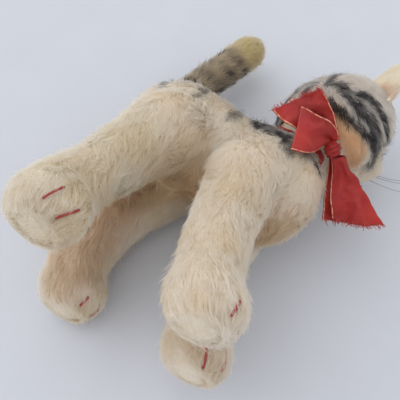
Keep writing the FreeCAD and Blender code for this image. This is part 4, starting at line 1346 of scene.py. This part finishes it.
# ---- whiskers
WHISKERS = [((10.0, -29.2, -4.0), (19.0, -36.0, -2.0), (29.5, -37.0, -1.5)),
            ((11.5, -28.6, -6.5), (21.0, -34.0, -6.5), (31.0, -34.0, -8.0)),
            ((10.5, -28.8, -9.0), (19.0, -34.5, -10.5), (27.5, -35.5, -13.5))]
for s, nm in ((1, "left"), (-1, "right")):
    parts = []
    for k, w in enumerate(WHISKERS):
        q = [(s * x, y, z) for x, y, z in w]
        a = unit(A(*q[1]) - A(*q[0]))
        c = smooth_path([A(*q[0]) - a * 1.6] + q, 30)
        c[:, 2] += 0.25 * np.sin(np.linspace(0, 5, 30) + k)
        parts.append(tube(hp(c), np.linspace(0.13, 0.06, 30), 7))
    V, F = join(parts)
    solid_object("whisker_threads_" + nm, V, F, M_WHISK, "head", ["whiskers_" + nm])

# ---- ribbon: two ends, the loop, the knot and the band round the neck
gr = np.random.default_rng(41)
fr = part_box("neck_ribbon")
UTs = np.array(UT)
w = np.array([0.35, 0.35, 0.55, 0.85, 1.0])[None] * np.array([1.0, 1.0, 0.9, 0.6, 0.25])[:, None]
UTs = UTs - (w * 2.4)[..., None] * VIEW
nu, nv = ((36, 64))
G = grid_patch(UTs, nu, nv)
wear = np.zeros((nv, nu))
u = np.linspace(0, 1, nu)[None]
v = np.linspace(0, 1, nv)[:, None]
push = crumple(G, 0.95, 3, sstep(0.0, 0.15, 1 - v) + 0 * u, 0.8, 4.0)
_, GU = sheet("ribbon_tail_upper", G, 22.0, 36.0, wear=wear, push=push)
ob_ut = bpy.data.objects["ribbon_tail_upper"]

G = grid_patch(np.array(LT), 78, nv)
nu2 = G.shape[1]
u = np.linspace(0, 1, nu2)[None]
fold = np.exp(-((u - 4.0 / 6.0) / 0.02) ** 2) * (0.4 + 0.6 * noise(G.reshape(-1, 3), 2.0, 8).reshape(nv, nu2))
fadeLT = sstep(0.0, 0.12, v) + 0 * u
push = crumple(G[::-1], 0.85, 13, None, 1.15, 7.0)[::-1]
_, GL = sheet("ribbon_tail_lower", G, 38.0, 40.0, wear=fold * 0.12, push=push * fadeLT)

# loop: out along the front layer, over the crease, back behind
LFa = np.array(LF)
front = LFa[::-1]
back = LFa[1:] + 0.0
depth = np.array([1.5, 2.3, 2.3, 1.8, 0.9])[:, None, None]
inset = np.array([0.92, 0.9, 0.88, 0.85, 0.8])[:, None, None]
mid = back.mean(1, keepdims=True)
back = mid + (back - mid) * inset + VIEW * depth
crease = LFa[:1] + (LFa[:1] - LFa[1:2]) * 0.06 + VIEW * 0.45
loopC = np.concatenate([front[:-1], LFa[:1], crease, back])
G = grid_patch(loopC, nu, nv * 2)
n2 = G.shape[0]
v2 = np.linspace(0, 1, n2)[:, None]
u = np.linspace(0, 1, nu)[None]
tc = 5.5 / 11.0
wear = np.exp(-((v2 - 0.482) / 0.008) ** 2) + 0 * u
k = np.clip(1 - v2 / 0.48, 0, 1)
kb = np.clip((v2 - 0.52) / 0.48, 0, 1)
folds = 1.05 * np.sin(u * math.pi * 4.2 + 0.7) * sstep(0.12, 0.75, k) * (1 - 0.6 * k)
folds = folds + 0.35 * np.sin(u * math.pi * 3.1) * sstep(0.2, 0.8, kb) * (1 - 0.6 * kb)
cr = (noise(G.reshape(-1, 3), 5.0, 6) - 0.5).reshape(n2, nu) * 0.7 * sstep(0.0, 0.1, np.abs(v2 - 0.5)) * (1 - np.maximum(sstep(0.85, 1.0, k), sstep(0.85, 1.0, kb)))
_, GF = sheet("ribbon_loop", G, 22.0, 56.0, wear=wear * 0.45, push=folds + cr)

# band round the neck, crushed into pleats
e1 = unit(np.cross(AXIS, A(0, 0, 1)))
e2 = np.cross(AXIS, e1)
rows = []
KDIR = unit(KNOT - (NECK + AXIS * ((KNOT - NECK) @ AXIS)))
nb = 150
prof = np.array([(-1.35, 0.5), (-0.9, 1.45), (-0.35, 0.75), (0.15, 1.5), (0.6, 0.7), (1.0, 1.35), (1.35, 0.6)])
for i in range(nb + 1):
    a = 2 * math.pi * i / nb
    rad_dir = math.cos(a) * e1 + math.sin(a) * e2
    wob = 0.25 * math.sin(5 * a + 1) + 0.15 * math.sin(11 * a)
    row = []
    for j, (tt, rr) in enumerate(prof):
        rr2 = rr - 1.0 + 0.25 * math.sin(7 * a + 2.1 * j) + 0.12 * math.sin(17 * a + j)
        near_k = math.exp(-((1 - rad_dir @ KDIR) / 0.035) ** 1.5)
        row.append(NECK + AXIS * (1.9 + tt * 0.92 + 0.12 * wob + 1.6 * near_k) + rad_dir * (15.9 + rr2 + 3.2 * near_k))
    rows.append(row)
rows[-1] = rows[0]
G = np.stack([smooth_path(r, 26) for r in rows])
n = unit(np.cross(np.gradient(G, axis=1), np.gradient(G, axis=0)))
# closed ring: outer and inner skins joined along the two woven edges
m = nb * 26
Gr, nr = G[:-1], n[:-1]
nr[0] = unit(np.cross(np.gradient(G[0], axis=0), G[1] - G[-2]))
Vb = np.concatenate([(Gr + nr * 0.16).reshape(-1, 3), (Gr - nr * 0.16).reshape(-1, 3)])
F = []
for i in range(nb):
    i2 = (i + 1) % nb
    for j in range(25):
        a, b, c, d = i * 26 + j, i * 26 + j + 1, i2 * 26 + j + 1, i2 * 26 + j
        F.append([a, b, c, d])
        F.append([a + m, d + m, c + m, b + m])
    F.append([i * 26, i2 * 26, i2 * 26 + m, i * 26 + m])
    F.append([i2 * 26 + 25, i * 26 + 25, i * 26 + 25 + m, i2 * 26 + 25 + m])
ob_band = mesh_object("ribbon_band", Vb, np.array(F))
U = np.concatenate([np.tile(np.linspace(0, 22, 26), nb)] * 2)
W = np.concatenate([np.repeat(np.arange(nb) * 0.86, 26)] * 2)
lay = ob_band.data.uv_layers.new(name="cloth")
li = np.empty(len(ob_band.data.loops), np.int32)
ob_band.data.loops.foreach_get("vertex_index", li)
lay.data.foreach_set("uv", np.stack([U[li], W[li]], 1).astype(np.float32).ravel())
for nm, val in (("edge", np.minimum(U, 22 - U)), ("wear", np.zeros(len(U)))):
    at = ob_band.data.attributes.new(nm, "FLOAT", "POINT")
    at.data.foreach_set("value", val.astype(np.float32))

# knot: the ribbon wrapped once over the crossing, gathered into soft ridges, its woven edge showing
ax_k = unit(A(-15.0, -49.0, 99.5) - A(-21.0, -43.5, 103.5))     # from the loop to the lower end
out_k = unit(KNOT - (NECK + AXIS * ((KNOT - NECK) @ AXIS)))
out_k = unit(out_k - (out_k @ ax_k) * ax_k)
side_k = np.cross(ax_k, out_k)
nk, mk = 96, 34
V, U, W = [], [], []
for i in range(nk):
    a = 2 * math.pi * i / nk
    for j in range(mk):
        s = -1 + 2 * j / (mk - 1.0)
        r = 3.35 * (1 - 0.26 * s * s) + 0.30 * math.sin(s * 9.5 + 0.8 * math.sin(a * 2 + 1)) + 0.16 * math.sin(a * 5 + s * 3)
        if abs(s) > 0.86:
            r *= 1 - 0.50 * ((abs(s) - 0.86) / 0.14) ** 1.5
        p = KNOT + ax_k * (s * 2.9 + 0.5 * math.sin(a + 0.6)) + (math.cos(a) * out_k * 0.92 + math.sin(a) * side_k * 1.05) * r
        V.append(p)
        U.append((s + 1) * 5.5 + 3.0 + 1.0 * math.sin(a * 2))
        W.append(a * 4.0)
c0, c1 = len(V), len(V) + 1
V += [KNOT - ax_k * 2.5, KNOT + ax_k * 2.5]
U += [3.0, 14.0]
W += [0, 0]
F = []
for i in range(nk):
    i2 = (i + 1) % nk
    for j in range(mk - 1):
        F.append([i * mk + j, i * mk + j + 1, i2 * mk + j + 1, i2 * mk + j])
    F.append([c0, i * mk, i2 * mk])
    F.append([c1, i2 * mk + mk - 1, i * mk + mk - 1])
V = np.array(V)
U, W = np.array(U), np.array(W)
ob_knot = mesh_object("ribbon_knot", V, F)
lay = ob_knot.data.uv_layers.new(name="cloth")
li = np.empty(len(ob_knot.data.loops), np.int32)
ob_knot.data.loops.foreach_get("vertex_index", li)
lay.data.foreach_set("uv", np.stack([U[li], W[li]], 1).astype(np.float32).ravel())
sK = (V - KNOT) @ ax_k
edge = np.abs(sK - 1.1 - 0.4 * np.sin(np.arctan2((V - KNOT) @ side_k, (V - KNOT) @ out_k))) * 1.0 + 0.75
edge = np.where(edge < 1.3, edge, 3.0)
for nm, val in (("edge", edge), ("wear", np.zeros(len(V)))):
    at = ob_knot.data.attributes.new(nm, "FLOAT", "POINT")
    at.data.foreach_set("value", val.astype(np.float32))

for nm in ("ribbon_tail_upper", "ribbon_tail_lower", "ribbon_loop", "ribbon_band", "ribbon_knot"):
    ob = bpy.data.objects[nm]
    dress(ob, M_RIBBON)
    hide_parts("neck_ribbon")
    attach(ob, "body")

fr = [fray("a", GU[0], GU[0] - GU[3], 150, gr, 0.4, 2.4), fray("b", GL[-1], GL[-1] - GL[-4], 190, gr, 0.4, 2.6)]
V, F = join(fr)
solid_object("ribbon_fray", V, F, M_FRAY, "body", ["neck_ribbon"])

# ---- stuffing, packed wood wool with room for the joint
HS = 1.7


def body_fill(p):
    d = body_env(p) + 4.3
    d = smax(d, 3.0 - p[..., 2], 1.0)
    t = (p - NECK) @ AXIS
    r = np.linalg.norm(p - NECK - t[..., None] * AXIS.astype(np.float32), axis=-1)
    joint = np.maximum(r - 13.0, -t - 14.0)
    d = np.maximum(d, -joint)
    d = np.maximum(d, t + 2.0)
    return np.maximum(d, 2.6 - tail_env(p)) + 0.9 * (noise(p, 3.2, 15) - 0.5)


def head_fill(p):
    d = head_env(p) + 4.3
    t = (p - NECK) @ AXIS
    r = np.linalg.norm(p - NECK - t[..., None] * AXIS.astype(np.float32), axis=-1)
    d = np.maximum(d, -np.maximum(r - 13.0, t - 14.0))
    for s in (1, -1):
        e = np.linalg.norm(p - EYES[s].astype(np.float32), axis=-1) - 11.0
        d = np.maximum(d, -np.maximum(e, np.linalg.norm(np.cross(p - EYES[s], EYE_N[s]), axis=-1) - 4.6))
    return np.maximum(d, 2.0 - t) + 0.9 * (noise(p, 3.2, 16) - 0.5)


def tail_fill(p):
    return tail_env(p) + 4.0 + 0.8 * (noise(p, 3.0, 17) - 0.5)


for nm, f, lo_, hi_, b in (("body_woodwool", body_fill, (-42, -50, 0), (42, 48, 116), "body"), ("head_woodwool", head_fill, (-36, -70, 103), (26, -12, 158), "head"), ("tail_woodwool", tail_fill, (-17, 10, 104), (10, 46, 172), "tail")):
    V, Q = surface(f, lo_, hi_, HS, 1)
    ob = mesh_object(nm, V, Q)
    dress(ob, M_WOOL)
    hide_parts(nm.replace("_woodwool", "_stuffing"))
    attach(ob, b)

# ---- hardware keeps its own shape
for nm in ("body_joint_disc", "head_joint_disc"):
    dress(frame["nodes"][nm], M_CARD)
for nm in ("body_joint_washer", "head_joint_washer", "cotter_pin", "eye_wire_left", "eye_wire_right"):
    dress(frame["nodes"][nm], M_STEEL)
for nm in ("body_gather_thread", "head_gather_thread"):
    dress(frame["nodes"][nm], M_SEW)

# ------------------------------------------------------------------ camera, ground and light
ROT = np.array([[-0.07417382, -0.88059239, 0.46803343], [0.62632374, -0.40635142, -0.66527971], [0.7760263, 0.24379411, 0.58167656]])
CAM = A(-151.07163, -52.72109, -52.05868)
cam = bpy.data.objects.new("camera", bpy.data.cameras.new("camera"))
bpy.context.scene.collection.objects.link(cam)
cam.data.sensor_width = 36.0
cam.data.lens = 459.78138 * 36.0 / 400.0
cam.data.clip_start, cam.data.clip_end = 0.01, 20.0
right_c, down_c, fwd_c = ROT
m = Matrix.Identity(4)
for k in range(3):
    m[k][0], m[k][1], m[k][2] = right_c[k], -down_c[k], -fwd_c[k]
    m[k][3] = float(to_m(CAM)[k])
cam.matrix_world = m
bpy.context.scene.camera = cam
up_c = -down_c


def main_view(nt):
    """1 while the scene is seen along the main view, else 0"""
    t = node(nt, "VectorTransform", {0: (0, 0, 1)}, vector_type="VECTOR", convert_from="CAMERA", convert_to="WORLD").outputs[0]
    n = node(nt, "VectorMath", {0: t}, operation="NORMALIZE").outputs[0]
    d = node(nt, "VectorMath", {0: n, 1: tuple(float(x) for x in fwd_c)}, operation="DOT_PRODUCT").outputs["Value"]
    return maths(nt, "GREATER_THAN", maths(nt, "ABSOLUTE", d), 0.9995)


def ground_mat(name, main):
    m_, nt = material(name)
    v = node(nt, "TexCoord").outputs["Object"]
    f = node(nt, "TexNoise", {"Vector": v, "Scale": 35.0, "Detail": 4.0}).outputs[0]
    c = mix(nt, f, GROUND_A, GROUND_B)
    s = principled(nt, base=c, rough=0.75, spec=0.25, normal=bump(nt, f, 0.05, 0.0003))
    see = main_view(nt)
    if not main:
        see = maths(nt, "SUBTRACT", 1.0, see)
    clear = node(nt, "BsdfTransparent").outputs[0]
    return finish_mat(m_, nt, node(nt, "MixShader", {0: see, 1: clear, 2: s}).outputs[0])


GROUND_A, GROUND_B = lin(202, 204, 208), lin(208, 210, 213)


def plane(name, centre, nrm, size, mat):
    nrm = unit(nrm)
    a = unit(np.cross(nrm, A(0.3, 0.9, 0.2)))
    b = np.cross(nrm, a)
    c = np.asarray(centre, float)
    V = np.array([c - a * size - b * size, c + a * size - b * size, c + a * size + b * size, c - a * size + b * size])
    ob = mesh_object(name, V, [[0, 1, 2, 3]], False)
    ob.data.materials.append(mat)
    return ob


plane("floor", A(0, 0, 0), A(0, 0, 1), 2500.0, ground_mat("floor_matt", False))
# the surface the cat lies on in the main view, under its left side
tn = unit(A(0.9759, 0.0902, 0.1986))
plane("table", tn * 44.7, -tn, 4000.0, ground_mat("table_matt", True))

world = bpy.data.worlds.new("studio")
bpy.context.scene.world = world
world.use_nodes = True
nt = world.node_tree
nt.nodes.clear()
dirn = node(nt, "TexCoord").outputs["Generated"]
see = main_view(nt)
L_MAIN = unit(-0.62 * right_c + 0.62 * up_c - 0.48 * fwd_c)
L_GEN = unit(A(-0.35, -0.45, 0.82))


def lobe(L, power):
    d = node(nt, "VectorMath", {0: dirn, 1: tuple(float(x) for x in L)}, operation="DOT_PRODUCT").outputs["Value"]
    return maths(nt, "POWER", maths(nt, "MAXIMUM", d, 0.0), power)


key = maths(nt, "ADD", maths(nt, "MULTIPLY", see, lobe(L_MAIN, 3.0)), maths(nt, "MULTIPLY", maths(nt, "SUBTRACT", 1.0, see), lobe(L_GEN, 3.0)))
amb = maprange(nt, see, 0.0, 1.0, 0.70, 0.80)
keys = maprange(nt, see, 0.0, 1.0, 1.1, 1.22)
strength = maths(nt, "ADD", maths(nt, "MULTIPLY", key, keys), amb)
bg = node(nt, "Background", {"Color": (*[float(x) for x in lin(246, 248, 255)], 1.0), "Strength": strength})
o = node(nt, "OutputWorld")
nt.links.new(bg.outputs[0], o.inputs[0])
bpy.context.scene.view_settings.view_transform = "Standard"
bpy.context.scene.view_settings.look = "None"

bpy.context.view_layer.update()
